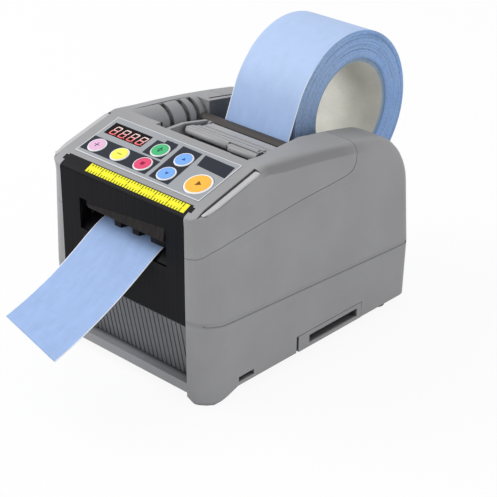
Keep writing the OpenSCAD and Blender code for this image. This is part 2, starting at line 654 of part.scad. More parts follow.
module button_cap(u, v, r) placed() on_panel() translate([u, v, 0]) {
    translate([0, 0, -cap_low]) cylinder(h = cap_low - wall, r = r - 2);
    translate([0, 0, -wall - part_gap - flange_t]) cylinder(h = flange_t, r = r + flange_w);
    translate([0, 0, -wall - part_gap]) cylinder(h = wall + part_gap + overlay_t, r = r);
    translate([0, 0, overlay_t]) cylinder(h = proud, r1 = r, r2 = r - 0.4);
}
module button_plus() color("#e8bedc") button_cap(small_buttons[0][0], small_buttons[0][1], button_r);
module button_minus() color("#f6ef6c") button_cap(small_buttons[1][0], small_buttons[1][1], button_r);
module button_red() color("#e6507a") button_cap(small_buttons[2][0], small_buttons[2][1], button_r);
module button_green() color("#50be82") button_cap(small_buttons[3][0], small_buttons[3][1], button_r);
module button_blue_rear() color("#82b4f5") button_cap(small_buttons[4][0], small_buttons[4][1], button_r);
module button_blue_front() color("#82b4f5") button_cap(small_buttons[5][0], small_buttons[5][1], button_r);
module button_start() color("#fbc350") button_cap(start_u, start_v, start_r);

// Flap over the tape guide, with steps across it for the fingers.

module guide_flap() color("#9a9c9f") placed() translate([deck_x, 0, 0]) {
    rise = 7;
    difference() {
        union() {
            side_plate(-flap_w / 2, flap_w / 2) polygon([
                [flap_y + 0.4, flap_pin_z + rise - 1], [flap_y + 2, flap_pin_z + rise + 1.4],
                [flap_y + 8, flap_pin_z + rise + 0.4], [flap_y + 8, flap_pin_z + rise - 0.6],
                [flap_y + 14, flap_pin_z + rise - 1.6], [flap_y + 14, flap_pin_z + rise - 2.6],
                [flap_pin_y + 0.6, flap_pin_z + knuckle_r], [flap_pin_y, flap_pin_z],
                [flap_pin_y - 5, flap_pin_z + 1.2], [flap_y + 3, flap_pin_z + rise - 2]
            ]);
            rod(-flap_w / 2, flap_w / 2, flap_pin_y, flap_pin_z, knuckle_r);
        }
        rod(-far, far, flap_pin_y, flap_pin_z, 1.5 + run_fit);
        block(7, far, flap_y - 1, flap_y + 3.4, flap_pin_z + rise + 0.3, top_z);
        block(7, 15, flap_y + 14.6, flap_y + 16.2, flap_pin_z, top_z);
    }
}

// Bar that keeps the tape off the flap as it runs down into the machine.
module entry_bar() color("#3a3734") placed() difference() {
    side_plate(-well_w / 2, well_w / 2) polygon([[gap_end_y - 10, deck_z - 2.5], [gap_end_y - 5.5, deck_z - 2.5],
        [gap_end_y - 2.7, deck_z + 4.2], [gap_end_y - 3.4, deck_z + 5], [gap_end_y - 8, deck_z + 5],
        [gap_end_y - 10, deck_z + 3]]);
    for (side = [0, 1]) mirror([side, 0, 0]) block(tape_w / 2 + 3 - part_gap, far, 0, far, 0, deck_z);
}

module flap_pin() color("#c0c3c7") placed()
    rod(deck_left, deck_right, flap_pin_y, flap_pin_z, 1.5);

// Frame plates, shafts and rollers.

module frame_plate() {
    difference() {
        union() {
            side_plate(frame_x, frame_x + frame_t) difference() {
                polygon([[frame_front, base_top], [frame_front, 96], [frame_front + 10, frame_top],
                    [pivot_y + 16, frame_top], [frame_rear, guide_z + 8], [frame_rear, base_top]]);
                translate([frame_front + 16, base_top + 12]) square([frame_rear - frame_front - 32, 30]);
            }
            block(frame_x, frame_x + 14, frame_front, frame_rear, base_top, base_top + frame_t);
        }
        rod(0, far, feed_y, feed_z, feed_bush_r + run_fit);
        rod(0, far, feed_y, press_z, bush_r + run_fit);
        rod(0, far, guide_y, guide_z, bush_r + run_fit);
        rod(0, far, pivot_y, pivot_z, shaft_r + run_fit);
        for (y = [frame_front + 8, frame_rear - 8])
            translate([frame_x + 9, y, base_top - 1]) cylinder(h = 6, r = 1.7);
    }
}
module frame_right() color("#b4b8bc") placed() difference() {
    frame_plate();
    rod(0, far, feed_pinion_p[0], feed_pinion_p[1], motor_shaft_r + 2);
}
module frame_left() color("#b4b8bc") placed() mirror([1, 0, 0]) difference() {
    frame_plate();
    rod(0, far, cutter_pinion_p[0], cutter_pinion_p[1], motor_shaft_r + 2);
}

module tie_rods() color("#c0c3c7") placed()
    for (y = rod_y) rod(-frame_x, frame_x, y, rod_z, shaft_r);

module guide_plate() color("#c4c7cb") placed()
    block(-tape_w / 2 - 2, tape_w / 2 + 2, feed_y + feed_r + 3, guide_y - guide_r - 2, rod_z + shaft_r, web_z - web_gap);

module bush(x, y, z, r) difference() {
    union() {
        rod(x - 1.2, x + frame_t + 1, y, z, r + 2.5);
        rod(x - 1.2, x, y, z, r + 4);
    }
    rod(x - 2, x + frame_t + 2, y, z, r + run_fit);
}
module bushes() color("#b08d57") placed() for (side = [0, 1]) mirror([side, 0, 0]) {
    bush(frame_x, feed_y, feed_z, feed_shaft_r);
    bush(frame_x, feed_y, press_z, shaft_r);
    bush(frame_x, guide_y, guide_z, shaft_r);
}

module feed_roller() color("#55585c") placed() difference() {
    rod(-feed_half, feed_half, feed_y, feed_z, feed_r);
    rod(-far, far, feed_y, feed_z, feed_shaft_r);
}
module feed_shaft() color("#c0c3c7") placed()
    rod(-frame_x - frame_t - 1, frame_x + frame_t + 1, feed_y, feed_z, feed_shaft_r);
module feed_gear() color("#e6e4da") placed() difference() {
    translate([0, feed_y, feed_z]) side_plate(gear_x, gear_x + gear_w) polygon(gear_pts(feed_teeth));
    rod(-far, far, feed_y, feed_z, feed_shaft_r);
}
module pinion(p, turn) translate([0, p[0], p[1]])
    side_plate(gear_x, gear_x + gear_w) rotate(turn) polygon(gear_pts(pinion_teeth));
module feed_pinion() color("#c9a24a") placed() union() {
    pinion(feed_pinion_p, mesh_turn(feed_dir, feed_teeth, pinion_teeth));
    rod(gear_x, frame_x + frame_t + 3, feed_pinion_p[0], feed_pinion_p[1], motor_shaft_r);
}
module motor(p) difference() {
    union() {
        rod(frame_x + frame_t, frame_x + frame_t + motor_l, p[0], p[1], motor_r);
        rod(frame_x + frame_t + motor_l, frame_x + frame_t + motor_l + 2, p[0], p[1], 4);
    }
    rod(0, frame_x + frame_t + 5, p[0], p[1], motor_shaft_r + run_fit);
}
module feed_motor() color("#8f9397") placed() motor(feed_pinion_p);

module press_roller() color("#d9d6cc") placed() {
    rod(-feed_half, feed_half, feed_y, press_z, press_r);
    rod(-frame_x - frame_t - 1, frame_x + frame_t + 1, feed_y, press_z, shaft_r);
}
module guide_roller() color("#d9d6cc") placed() {
    rod(-feed_half, feed_half, guide_y, guide_z, guide_r);
    rod(-frame_x - frame_t - 1, frame_x + frame_t + 1, guide_y, guide_z, shaft_r);
}

// Cutter: a yoke that swings its blade down past the fixed blade, driven by a sector gear.

module at_pivot() translate([0, pivot_y, pivot_z]) children();
bar_y = [cut_y - 0.1 - pivot_y, cut_y + 4.2 - pivot_y];
bar_z = [web_z + 2 - pivot_z, web_z + 10 - pivot_z];
module cutter_yoke() color("#a9adb2") placed() at_pivot() difference() {
    union() {
        rotate([-cutter_swing, 0, 0]) {
            for (side = [0, 1]) mirror([side, 0, 0]) {
                side_plate(arm_x, arm_x + arm_t) polygon([[0, 5], [bar_y[0] + 5, 1], [bar_y[0], -4],
                    [bar_y[0], bar_z[0]], [bar_y[1], bar_z[0]], [bar_y[1] + 1, press_z + shaft_r + 0.8 - pivot_z],
                    [0, press_z + shaft_r + 0.8 - pivot_z]]);
                rod(arm_x, arm_x + arm_t, 0, 0, shaft_r + 3.5);
            }
            block(-arm_x, arm_x, bar_y[0], bar_y[1], bar_z[0], bar_z[1]);
        }
        mirror([1, 0, 0]) side_plate(arm_x, gear_x + gear_w) intersection() {
            polygon(gear_pts(sector_teeth));
            polygon([[0, 0], for (a = steps(sector_dir - 42, sector_dir + 40, 8)) 30 * [cos(a), sin(a)]]);
        }
    }
    rod(-far, far, 0, 0, shaft_r);
}
module cutter_shaft() color("#c0c3c7") placed()
    rod(-frame_x - frame_t - 1, frame_x + frame_t + 1, pivot_y, pivot_z, shaft_r);
module cutter_blade() color("#d7dade") placed() at_pivot() rotate([-cutter_swing, 0, 0])
    side_plate(-tape_w / 2 - 2, tape_w / 2 + 2) polygon([[bar_y[0], bar_z[1]], [bar_y[0] - blade_t, bar_z[1]],
        [bar_y[0] - blade_t, web_z - 0.6 - pivot_z], [bar_y[0], web_z - 1.4 - pivot_z]]);
module cutter_pinion() color("#c9a24a") placed() mirror([1, 0, 0]) union() {
    pinion(cutter_pinion_p, mesh_turn(sector_dir, sector_teeth, pinion_teeth));
    rod(gear_x, frame_x + frame_t + 3, cutter_pinion_p[0], cutter_pinion_p[1], motor_shaft_r);
}
module cutter_motor() color("#8f9397") placed() mirror([1, 0, 0]) motor(cutter_pinion_p);
module fixed_blade() color("#c4c7cb") placed() {
    block(-frame_x, frame_x, cut_y + 0.2, cut_y + 3.2, web_z - 13, web_z - 4);
    block(-tape_w / 2 - 3, tape_w / 2 + 3, cut_y + 0.2, cut_y + 2.2, web_z - 5, web_z - web_gap);
}
module tape_sensor() color("#26282b") placed()
    block(-4, 4, cut_y - 6.8, cut_y - 2.6, web_z - 12, web_z - 3.5);

// Roll of tape, the rollers it lies on, and the strip drawn from it.

module cradle_roller(c, r) difference() {
    rod(-well_w / 2 + part_gap, well_w / 2 - part_gap, c[0], c[1], r);
    rod(-far, far, c[0], c[1], shaft_r + run_fit);
}
module cradle_roller_front() color("#4a4c50") placed() cradle_roller(cradle_front, cradle_front_r);
module cradle_roller_rear() color("#4a4c50") placed() cradle_roller(cradle_rear, cradle_rear_r);
module cradle_pins() color("#c0c3c7") placed()
    for (c = cradle_list) rod(-well_w / 2 - wall, well_w / 2 + wall, c[0], c[1], shaft_r);

module tape_roll() color("#88a8d8") placed() difference() {
    rod(-tape_w / 2, tape_w / 2, roll_y, roll_z, roll_r);
    rod(-far, far, roll_y, roll_z, core_r);
}
module tape_core() color("#e9e4d6") placed() difference() {
    rod(-tape_w / 2 + core_in, tape_w / 2 - core_in, roll_y, roll_z, core_r - run_fit);
    rod(-far, far, roll_y, roll_z, bore_r);
}

// Strip inside the machine: down from the roll, round the guide roller and forward to the cutting line.
web_bend = [for (a = steps(-leave_a, -90, 8)) [guide_y, guide_z] + guide_wrap * [cos(a), sin(a)]];
module tape_web() color("#a5bfeb") placed() {
    line = concat([leave_p], web_bend, [[cut_y + 0.4, web_z]]);
    away = concat([-leave_a, -leave_a], [for (a = steps(-leave_a, -90, 8)) a], [-90]);
    n = len(line);
    side_plate(-tape_w / 2, tape_w / 2) polygon(concat(
        [for (i = [0:n - 1]) line[i] + web_half * [cos(away[i == 0 ? 0 : i + 1]), sin(away[i == 0 ? 0 : i + 1])]],
        [for (i = [n - 1:-1:0]) line[i] - web_half * [cos(away[i == 0 ? 0 : i + 1]), sin(away[i == 0 ? 0 : i + 1])]]
    ));
}

// Hanging end: a curved strip that drifts and turns a little to the left and hangs lower on its right.
tail_n = 24;
tail_ctrl = [[cut_y - 2, web_z], [2, web_z], [-18, web_z - 27], [-tail_reach + 5, web_z - tail_drop]];
tail_drift = -5;
tail_bank = 5.4;
tail_yaw = 9;
function bez(c, t) = let (u = 1 - t)
    u * u * u * c[0] + 3 * u * u * t * c[1] + 3 * u * t * t * c[2] + t * t * t * c[3];
function bez_dir(c, t) = let (u = 1 - t, d = u * u * (c[1] - c[0]) + 2 * u * t * (c[2] - c[1]) + t * t * (c[3] - c[2]))
    d / norm(d);
module tape_tail() color("#a5bfeb") placed() {
    ring = [for (i = [0:tail_n])
        let (
            t = i / tail_n, p = bez(tail_ctrl, t), d = bez_dir(tail_ctrl, t), w = tape_w / 2,
            drift = tail_drift * t * t, yaw = tail_yaw * t * t, bank = tail_bank * t * t,
            up = web_half * [-d[1], d[0]]
        )
        each [for (k = [[-1, 1], [1, 1], [1, -1], [-1, -1]])
            [drift + k[0] * w * cos(yaw), p[0] - k[0] * w * sin(yaw) - k[1] * up[0],
                p[1] - k[0] * w * sin(bank) - k[1] * up[1]]]];
    polyhedron(ring, concat(
        [[3, 2, 1], [3, 1, 0]],
        [for (i = [0:tail_n - 1], k = [0:3]) let (a = 4 * i + k, b = 4 * i + (k + 1) % 4) each [[a, b, b + 4], [a, b + 4, a + 4]]],
        [[4 * tail_n, 4 * tail_n + 1, 4 * tail_n + 2], [4 * tail_n, 4 * tail_n + 2, 4 * tail_n + 3]]
    ));
}

// Electrical pieces.

module main_board() color("#2f6b46") placed()
    block(-board_x, board_x, board_y[0], board_y[1], base_top + stand_h, base_top + stand_h + board_t);
module dc_jack() color("#1d1e20") placed() difference() {
    union() {
        translate([jack_x, case_d - 13, socket_z]) rotate([-90, 0, 0]) cylinder(h = 13.5, r = 5);
        block(jack_x - 7, jack_x + 7, case_d - 18, case_d - wall - 3, base_top + stand_h + board_t, socket_z + 6);
    }
    translate([jack_x, case_d - 9, socket_z]) rotate([-90, 0, 0]) cylinder(h = 20, r = 3);
}
rocker_a = 8;
rocker_y = case_d - 5;
module power_switch() color("#1d1e20") placed() difference() {
    union() {
        block(switch_x - 6.5, switch_x + 6.5, case_d - 16, case_d + 0.6, socket_z - 9.5, socket_z + 9.5);
        block(switch_x - 8, switch_x + 8, case_d + 0.2, case_d + 2, socket_z - 11, socket_z + 11);
    }
    block(switch_x - 5.3, switch_x + 5.3, case_d - 13, case_d + 3, socket_z - 8.3, socket_z + 8.3);
    rod(switch_x - 6.2, switch_x + 6.2, rocker_y, socket_z, 1.2 + run_fit);
}
module power_rocker() color("#2a2b2e") placed() translate([0, rocker_y, socket_z]) rotate([-rocker_a, 0, 0]) union() {
    side_plate(switch_x - 5, switch_x + 5) polygon([[-4, -6], [6, -7.4], [5, 0], [6, 7.4], [-4, 6]]);
    rod(switch_x - 6, switch_x + 6, 0, 0, 1.2);
}

// Spring clip in the right side of the base.
module side_clip() color("#7c7e82") placed() {
    x1 = half_w(120, 8) + seam;
    block(x1 - 9, x1, clip_y[0] + 2, clip_y[0] + 13, foot_h, 16.2);
    block(x1 - 9, x1, clip_y[1] - 5, clip_y[1] - seam, foot_h, 16.2);
    block(x1 - 6, x1, clip_y[0] + 12, clip_y[1] - 4, foot_h, foot_h + 3);
    block(x1 - 9, x1 - 6, clip_y[0] + 12, clip_y[1] - 4, foot_h, 16.2);
    block(x1 - 6, x1, clip_y[0] + 12, clip_y[1] - 4, 13, 16.2);
}

lower_case();
upper_case();
base_plate();
rubber_feet();
base_screws();
front_cover();
rib_panel();
panel_overlay();
display_window();
display_module();
status_led();
control_board();
tact_switches();
button_plus();
button_minus();
button_red();
button_green();
button_blue_rear();
button_blue_front();
button_start();
guide_flap();
flap_pin();
entry_bar();
frame_left();
frame_right();
tie_rods();
guide_plate();
bushes();
feed_roller();
feed_shaft();
feed_gear();
feed_pinion();
feed_motor();
press_roller();
guide_roller();
cutter_yoke();
cutter_shaft();
cutter_blade();
cutter_pinion();
cutter_motor();
fixed_blade();
tape_sensor();
cradle_roller_front();
cradle_roller_rear();
cradle_pins();
tape_roll();
tape_core();
tape_web();
tape_tail();
main_board();
dc_jack();
power_switch();
power_rocker();
side_clip();
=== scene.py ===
"""Looks of an electric tape dispenser.

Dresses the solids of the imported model, adds the thin and soft pieces and sets a studio round them.
"""

import math
import random
from collections import namedtuple

import bmesh
import bpy
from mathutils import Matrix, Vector


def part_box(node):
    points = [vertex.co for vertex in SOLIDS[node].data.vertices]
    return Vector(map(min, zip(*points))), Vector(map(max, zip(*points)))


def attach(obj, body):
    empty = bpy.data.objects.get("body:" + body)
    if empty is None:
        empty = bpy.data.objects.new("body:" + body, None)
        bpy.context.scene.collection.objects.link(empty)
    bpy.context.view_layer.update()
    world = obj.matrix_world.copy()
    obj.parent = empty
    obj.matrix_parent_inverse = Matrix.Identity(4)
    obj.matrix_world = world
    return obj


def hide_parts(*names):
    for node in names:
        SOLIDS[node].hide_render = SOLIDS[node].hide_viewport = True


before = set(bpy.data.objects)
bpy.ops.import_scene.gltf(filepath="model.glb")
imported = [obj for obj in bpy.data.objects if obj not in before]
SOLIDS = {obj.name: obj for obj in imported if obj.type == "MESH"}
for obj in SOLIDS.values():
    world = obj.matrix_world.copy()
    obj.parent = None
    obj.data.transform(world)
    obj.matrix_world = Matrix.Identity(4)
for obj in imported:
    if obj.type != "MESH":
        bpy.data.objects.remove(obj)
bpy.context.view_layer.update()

bl_info = {
    "name": "Electric Tape Dispenser",
    "version": (1, 0, 0),
    "blender": (4, 5, 0),
    "location": "View3D > Sidebar > Dispenser",
    "description": "Dresses the solids of an electric tape dispenser and sets its studio",
    "category": "Object",
}

MM = 0.001
WHITE = (1, 1, 1, 1)
EDGE_ANGLE = math.radians(32)
WELD_REACH = 0.01 * MM


# Flat outlines.


def circle(middle, radius, count=64):
    turns = [2 * math.pi * i / count for i in range(count)]
    return [(middle[0] + radius * math.cos(a), middle[1] + radius * math.sin(a)) for a in turns]


def box_at(x, y, wide, tall):
    corners = ((-0.5, -0.5), (0.5, -0.5), (0.5, 0.5), (-0.5, 0.5))
    return [(x + u * wide, y + v * tall) for u, v in corners]


def arrow(x, y, size, turn):
    """A triangle that points along its turn."""
    head = ((0.5, 0.0), (-0.35, 0.52), (-0.35, -0.52))
    c, s = math.cos(turn) * size, math.sin(turn) * size
    return [(x + a * c - b * s, y + a * s + b * c) for a, b in head]


# Layout of the casing in millimetres: y from its front face, z from a plane one leg above the floor.

PANEL_FOOT, PANEL_TILT = (9.615, 135.967), math.radians(16)
CHAMFER_FOOT, CHAMFER_TILT = (1.657, 131.983), math.radians(26.6)
OVERLAY_FOOT, OVERLAY_END, OVERLAY_HALF = 4.3, 45.3, 58.0
OVERLAY_TOP, OVERLAY_HIGHLIGHT = 0.4, 0.7
PRINT_LOW, PRINT_HIGH = OVERLAY_TOP - 0.01, OVERLAY_TOP + 0.04
FRONT_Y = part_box("front_cover")[0].y / MM
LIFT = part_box("panel_overlay")[0].z / MM - PANEL_FOOT[1] - OVERLAY_FOOT * math.sin(PANEL_TILT)

# Zones of the casing with painted shade or painted light, and the ledges beside its key panel.
SHADED_INSIDE, SHADED_ROUND, SHADED_CREASE, LIT_CREASE = 0.3, 0.72, 0.72, 1.1
WELL_SHADE, SLOT_SHADE, BELT_SHADE = 0.8, 0.85, 0.6
WELL_HALF, WELL_Y, WELL_Z = 45.4, (127.5, 204.0), 63.5
SHOULDER_Y, SHOULDER_Z = (54.0, 62.0, 134.0, 162.0), 112.0
SHOULDER_STEEP, SHOULDER_LEVEL = (0.04, 0.2), (0.7, 0.92)
BELT, BELT_CUT_Y = ((19.0, 56.0), (199.0, 46.5)), 4.0
BELT_SOFT, BELT_BOTTOM = (0.4 * MM, 2.6 * MM), (1.0 * MM, 1.2 * MM)
SLOT_DEPTH = 1.2 * MM
LEDGE = ((66.9, -3.4), (67.5, -4.2), (69.4, -4.0), (70.9, -1.0), (71.9, 3.0), (72.5, 8.0), (72.4, 42.0),
         (72.0, 46.2), (71.4, 46.8), (67.6, 46.8), (66.9, 46.2))
LEDGE_MIDDLE = (70.2, 20.0)
# Rings of a ledge's bead: inset of its inner flank, inset of its other sides, height.
BEAD_RINGS = ((0, 0, -2.25), (0, 0, -1.9), (0.9, 0.35, -1.25), (1.5, 0.9, -1.1))

# Front: the hood's lip (place, height, depth) and the yellow band with its ticks.
HOOD_Z, HOOD_ROOT, HOOD_TOP, HOOD_NOSE = 108.8, 0.3, -0.05, (0.15, 0.7)
HOOD_LIP = ((-31.0, 1.6, 0.3), (-30.0, 2.2, 0.6), (5.0, 5.8, 1.1), (40.0, 9.0, 1.5), (41.2, 9.0, 1.1))
BAND = ((-36, 1.1), (55.6, 1.1), (55.6, 8.3), (-36, 8.3))
BAND_HEIGHTS, TICK_HEIGHTS = (-0.02, 0.08), (0.05, 0.14)
TICK_STEP, TICK_WIDE, TICK_SHORT, TICK_LONG, LONG_EVERY = 2.5, 0.6, 2.0, 3.2, 5

# Key panel: its printed fields, its display and its keys, across the slope and up it.
PRINTED_FIELDS = {
    "field_row": ((-57, 7.6), (6, 7.6), (6, 22.4), (-57, 22.4)),
    "field_green": ((-13.2, 24.1), (4.6, 24.1), (4.6, 39), (3.6, 42), (-6.7, 42), (-6.7, 39), (-13.2, 39)),
    "field_blue": ((9.7, 7.5), (28, 7), (25.8, 41.9), (7.8, 42.3)),
    "field_plain": ((30.8, 31.3), (56.9, 29.6), (55.5, 41.2), (28.5, 42)),
}
DISPLAY_SPOT, DISPLAY_HALF = (-36.3, 33.8), 5
DIGITS, DIGIT_CORNER, DIGIT_STEP = 4, (-14.6, -5.3), 8.4
DIGIT_WIDE, DIGIT_TALL, DIGIT_BAR, DIGIT_LEAN = 5.4, 8.8, 0.85, 0.16
BAR_IN, BAR_CUT, BAR_LIFT, BAR_LESS, POINT_GAP = 0.35, 0.42, 0.62, 0.24, 0.55
UP, DOWN = math.pi / 2, -math.pi / 2
KEY_R, START_R, KEY_GAP = 6.9, 10, 0.15
CAP_TOP = 0.9
Key = namedtuple("Key", "middle radius slot chip mark_chip marks")
KEYS = {
    "plus": Key((-47.2, 15), KEY_R, "pink", (231, 186, 219), (70, 46, 84),
                (box_at(0, 0, 4.6, 0.6), box_at(0, 1.3, 0.6, 2.0), box_at(0, -1.3, 0.6, 2.0))),
    "minus": Key((-25.2, 15), KEY_R, "yellow", (250, 244, 96), (84, 78, 30), (box_at(0, 0, 4.0, 0.6),)),
    "red": Key((-3.2, 15), KEY_R, "red", (228, 74, 116), (150, 26, 66), (box_at(0, 0, 3.0, 3.0),)),
    "green": Key((-3.2, 31.4), KEY_R, "green", (72, 186, 124), (22, 96, 62),
                 (arrow(0, 1.6, 2.6, UP), box_at(0, 0, 4.6, 0.6), arrow(0, -1.6, 2.6, DOWN))),
    "blue_rear": Key((18.8, 31.4), KEY_R, "blue", (122, 176, 244), (44, 84, 160), (arrow(0.4, 0, 3.0, UP),)),
    "blue_front": Key((18.8, 15), KEY_R, "blue", (122, 176, 244), (44, 84, 160), (arrow(0.4, 0, 3.0, DOWN),)),
    "start": Key((45.8, 17), START_R, "orange", (255, 190, 70), (120, 74, 28), (arrow(0.4, 0, 4.6, 0),)),
}
# Disc on a key: its share of the cap, then share of the radius, inset and height of each ring.
DISC_SHARE = 0.865
DISC_RINGS = ((1, 0, -0.02), (1, 0, 0.06), (1, 0.25, 0.14), (1, 0.7, 0.17), (0.5, 0, 0.18))
MARK_LOW, MARK_HIGH = CAP_TOP + 0.1, CAP_TOP + 0.22

# Flap: its lip stands in two lengths, left and right of the finger notch.
NOTCH_X, NOTCH_HALF = 14.0, 0.3
LIP_Y, LIP_R, LIP_Z = 85.8, 2.2, (138.5, 137.5)
LIP_IN, LIP_ROUND, LIP_END = 0.4, 0.6, 0.7
FLAP_RIBS, RIB_IN = ((90.0, 140.7), (95.6, 138.8), (103.4, 136.8)), 2
RIB_SECTION = ((-1.7, -0.1), (1.7, -0.6), (1.2, 0.5), (-1.0, 0.9))

# Tape, from the roll over the guide roller to the cutting line and out of the outlet.
ROLL_LOW, ROLL_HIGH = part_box("tape_roll")
ROLL_AXIS = ((ROLL_LOW.y + ROLL_HIGH.y) / 2 / MM - FRONT_Y, (ROLL_LOW.z + ROLL_HIGH.z) / 2 / MM - LIFT)
ROLL_R = (ROLL_HIGH.z - ROLL_LOW.z) / 2 / MM
TAPE_W = (ROLL_HIGH.x - ROLL_LOW.x) / MM
CORE_R = (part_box("tape_core")[1].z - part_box("tape_core")[0].z) / 2 / MM
BORE_R, CORE_IN, CORE_FIT, CORE_PLIES = 36.0, 1.6, 0.05, 5
RING_POINTS = 160
WOUND_SEED, WOUND_PHASE, SIDE_FACING = 7, 6.28, 0.4
WOUND_ACROSS = (0.985, 0.8, 0.5, 0.2, -0.2, -0.5, -0.8, -0.985)
LEAVE_ANGLE, LEAVE_LAP = math.radians(22.8), math.radians(34)
GUIDE_AXIS, GUIDE_WRAP = (109.38, 105.5), 6.5
WEB_Z, CUT_Y, CUT_GAP = 99.0, 19.8, 0.4
BEND_STEPS, WEB_STEPS, TAIL_STEPS, LENGTH_STEPS = 12, 9, 80, 400
WEB_COLUMNS, TAIL_COLUMNS, GLUE_EDGE = 12, 20, 0.6
TAIL_CONTROL = ((17.8, 99.0), (2.0, 99.0), (-18.0, 72.0), (-75.8, 51.7))
TAIL_DRIFT, TAIL_WAVE = -5.0, 0.25
TAIL_YAW, TAIL_BANK = math.radians(9), math.radians(5.4)


def casing_spot(x, y, z):
    """Place in the scene of a point of the casing."""
    return Vector((x, y + FRONT_Y, z + LIFT)) * MM


def sloped(foot, tilt):
    """Places a point of a sloping face: across it, up its slope and off its surface."""
    def place(u, v, h):
        y = foot[0] + v * math.cos(tilt) - h * math.sin(tilt)
        z = foot[1] + v * math.sin(tilt) + h * math.cos(tilt)
        return casing_spot(u, y, z)
    return place


on_panel = sloped(PANEL_FOOT, PANEL_TILT)
on_chamfer = sloped(CHAMFER_FOOT, CHAMFER_TILT)

# Studio: places and sizes in metres.
EYE = casing_spot(675.7, -593.4, 553.7)
TARGET = casing_spot(18.89, 100, 58.19)
SENSOR = 36
KEY_LAMP, KEY_SIZE = (-1.0, -0.6, 1.2), 1.1
SIDE_LAMP, SIDE_SIZE = (1.5, 0.15, 0.3), 0.9
LAMP_AIM = Vector((0, 0, 0.08))
FLOOR_WHITE = 0.92


def paint(red, green, blue):
    """Linear colour of a paint chip given in 0 to 255."""
    chip = [c / 255 for c in (red, green, blue)]
    return tuple(c / 12.92 if c <= 0.04045 else ((c + 0.055) / 1.055) ** 2.4 for c in chip)


def toned(colour, gain=1.0):
    """The colour made lighter or darker, with full alpha."""
    return tuple(min(1.0, c * gain) for c in colour[:3]) + (1.0,)


# Shader expressions.


class Wire:
    """A shader socket in a Python expression; each operator adds its Math node."""

    def __init__(self, finish, socket):
        self.finish = finish
        self.socket = socket

    def math(self, operation, *values):
        return self.finish.math(operation, self, *values)

    def __add__(self, other):
        return self.math("ADD", other)

    __radd__ = __add__

    def __sub__(self, other):
        return self.math("SUBTRACT", other)

    def __rsub__(self, other):
        return self.finish.math("SUBTRACT", other, self)

    def __mul__(self, other):
        return self.math("MULTIPLY", other)

    __rmul__ = __mul__

    def __truediv__(self, other):
        return self.math("DIVIDE", other)

    def __rtruediv__(self, other):
        return self.finish.math("DIVIDE", other, self)

    def __gt__(self, other):
        return self.math("GREATER_THAN", other)

    def __lt__(self, other):
        return self.math("LESS_THAN", other)

    def __abs__(self):
        return self.math("ABSOLUTE")

    def higher(self, other):
        return self.math("MAXIMUM", other)


class Finish:
    """A node tree that ends in one Principled shader, or in the shaders that the stage needs."""

    def __init__(self, name, holder=None, **sockets):
        self.holder = holder or bpy.data.materials.new(name)
        self.holder.use_nodes = True
        self.tree = self.holder.node_tree
        self.shader = self.tree.nodes.get("Principled BSDF")
        self.set(**sockets)

    def feed(self, target, value):
        """Links a wire to a socket, or sets the socket to a plain value."""
        if isinstance(value, Wire):
            self.tree.links.new(value.socket, target)
        else:
            target.default_value = value

    def node(self, kind, settings=None, sockets=None, out=0):
        """Adds a node, sets it, feeds its sockets and gives one of its outputs, if it has any."""
        made = self.tree.nodes.new(kind)
        for key, value in (settings or {}).items():
            setattr(made, key, value)
        for key, value in (sockets or {}).items():
            self.feed(made.inputs[key], value)
        return Wire(self, made.outputs[out]) if made.outputs else None

    def set(self, **sockets):
        """Feeds sockets of the shader, written with _ for a space."""
        for socket, value in sockets.items():
            self.feed(self.shader.inputs[socket.replace("_", " ")], value)
        return self

    def math(self, operation, *values):
        return self.node("ShaderNodeMath", {"operation": operation}, dict(enumerate(values)))

    def vector(self, operation, first, second, out=0):
        return self.node("ShaderNodeVectorMath", {"operation": operation}, {0: first, 1: second}, out)

    def spot(self):
        return self.node("ShaderNodeTexCoord", out="Object")

    def axes(self, vector=None):
        """The three parts of a vector, by default of the point's own place."""
        first = self.node("ShaderNodeSeparateXYZ", None, {0: vector or self.spot()})
        return [Wire(self, socket) for socket in first.socket.node.outputs]

    def joined(self, x, y, z):
        return self.node("ShaderNodeCombineXYZ", None, {0: x, 1: y, 2: z})

    def noise_at(self, place, detail):
        return self.node("ShaderNodeTexNoise", None, {"Vector": place, "Scale": 1.0, "Detail": detail})

    def noise(self, size, detail=2.0, stretch=(1, 1, 1)):
        """Noise with grains of a size in metres, stretched along the axes."""
        scale = [1 / (size * s) for s in stretch]
        return self.noise_at(self.vector("MULTIPLY", self.spot(), scale), detail)

    def span(self, value, low, high, to_low=0.0, to_high=1.0):
        """The value carried from one range to another and held inside it."""
        sockets = {0: value, 1: low, 2: high, 3: to_low, 4: to_high}
        return self.node("ShaderNodeMapRange", {"clamp": True}, sockets)

    def fade(self, value, low, high, most=1.0):
        """A span that falls from most to nothing."""
        return self.span(value, low, high, most, 0.0)

    def mix(self, factor, first, second):
        sockets = {0: factor, 6: first, 7: second}
        return self.node("ShaderNodeMix", {"data_type": "RGBA"}, sockets, out=2)

    def mottled(self, colour, value, dark, light, low=0.3, high=0.7):
        """The colour, from its dark to its light tone as the value climbs."""
        return self.mix(self.span(value, low, high), toned(colour, dark), toned(colour, light))

    def bump(self, height, depth, strength):
        sockets = {"Strength": strength, "Distance": depth, "Height": height}
        return self.set(Normal=self.node("ShaderNodeBump", None, sockets))


# Finishes of the real materials.


def enclosed(made):
    """How shut in a spot is: 0 in the open, 1 deep in a groove."""
    clear = made.node("ShaderNodeAmbientOcclusion", {"samples": 8}, {"Distance": 5 * MM}, out="AO")
    return made.fade(clear, 0.45, 0.85)


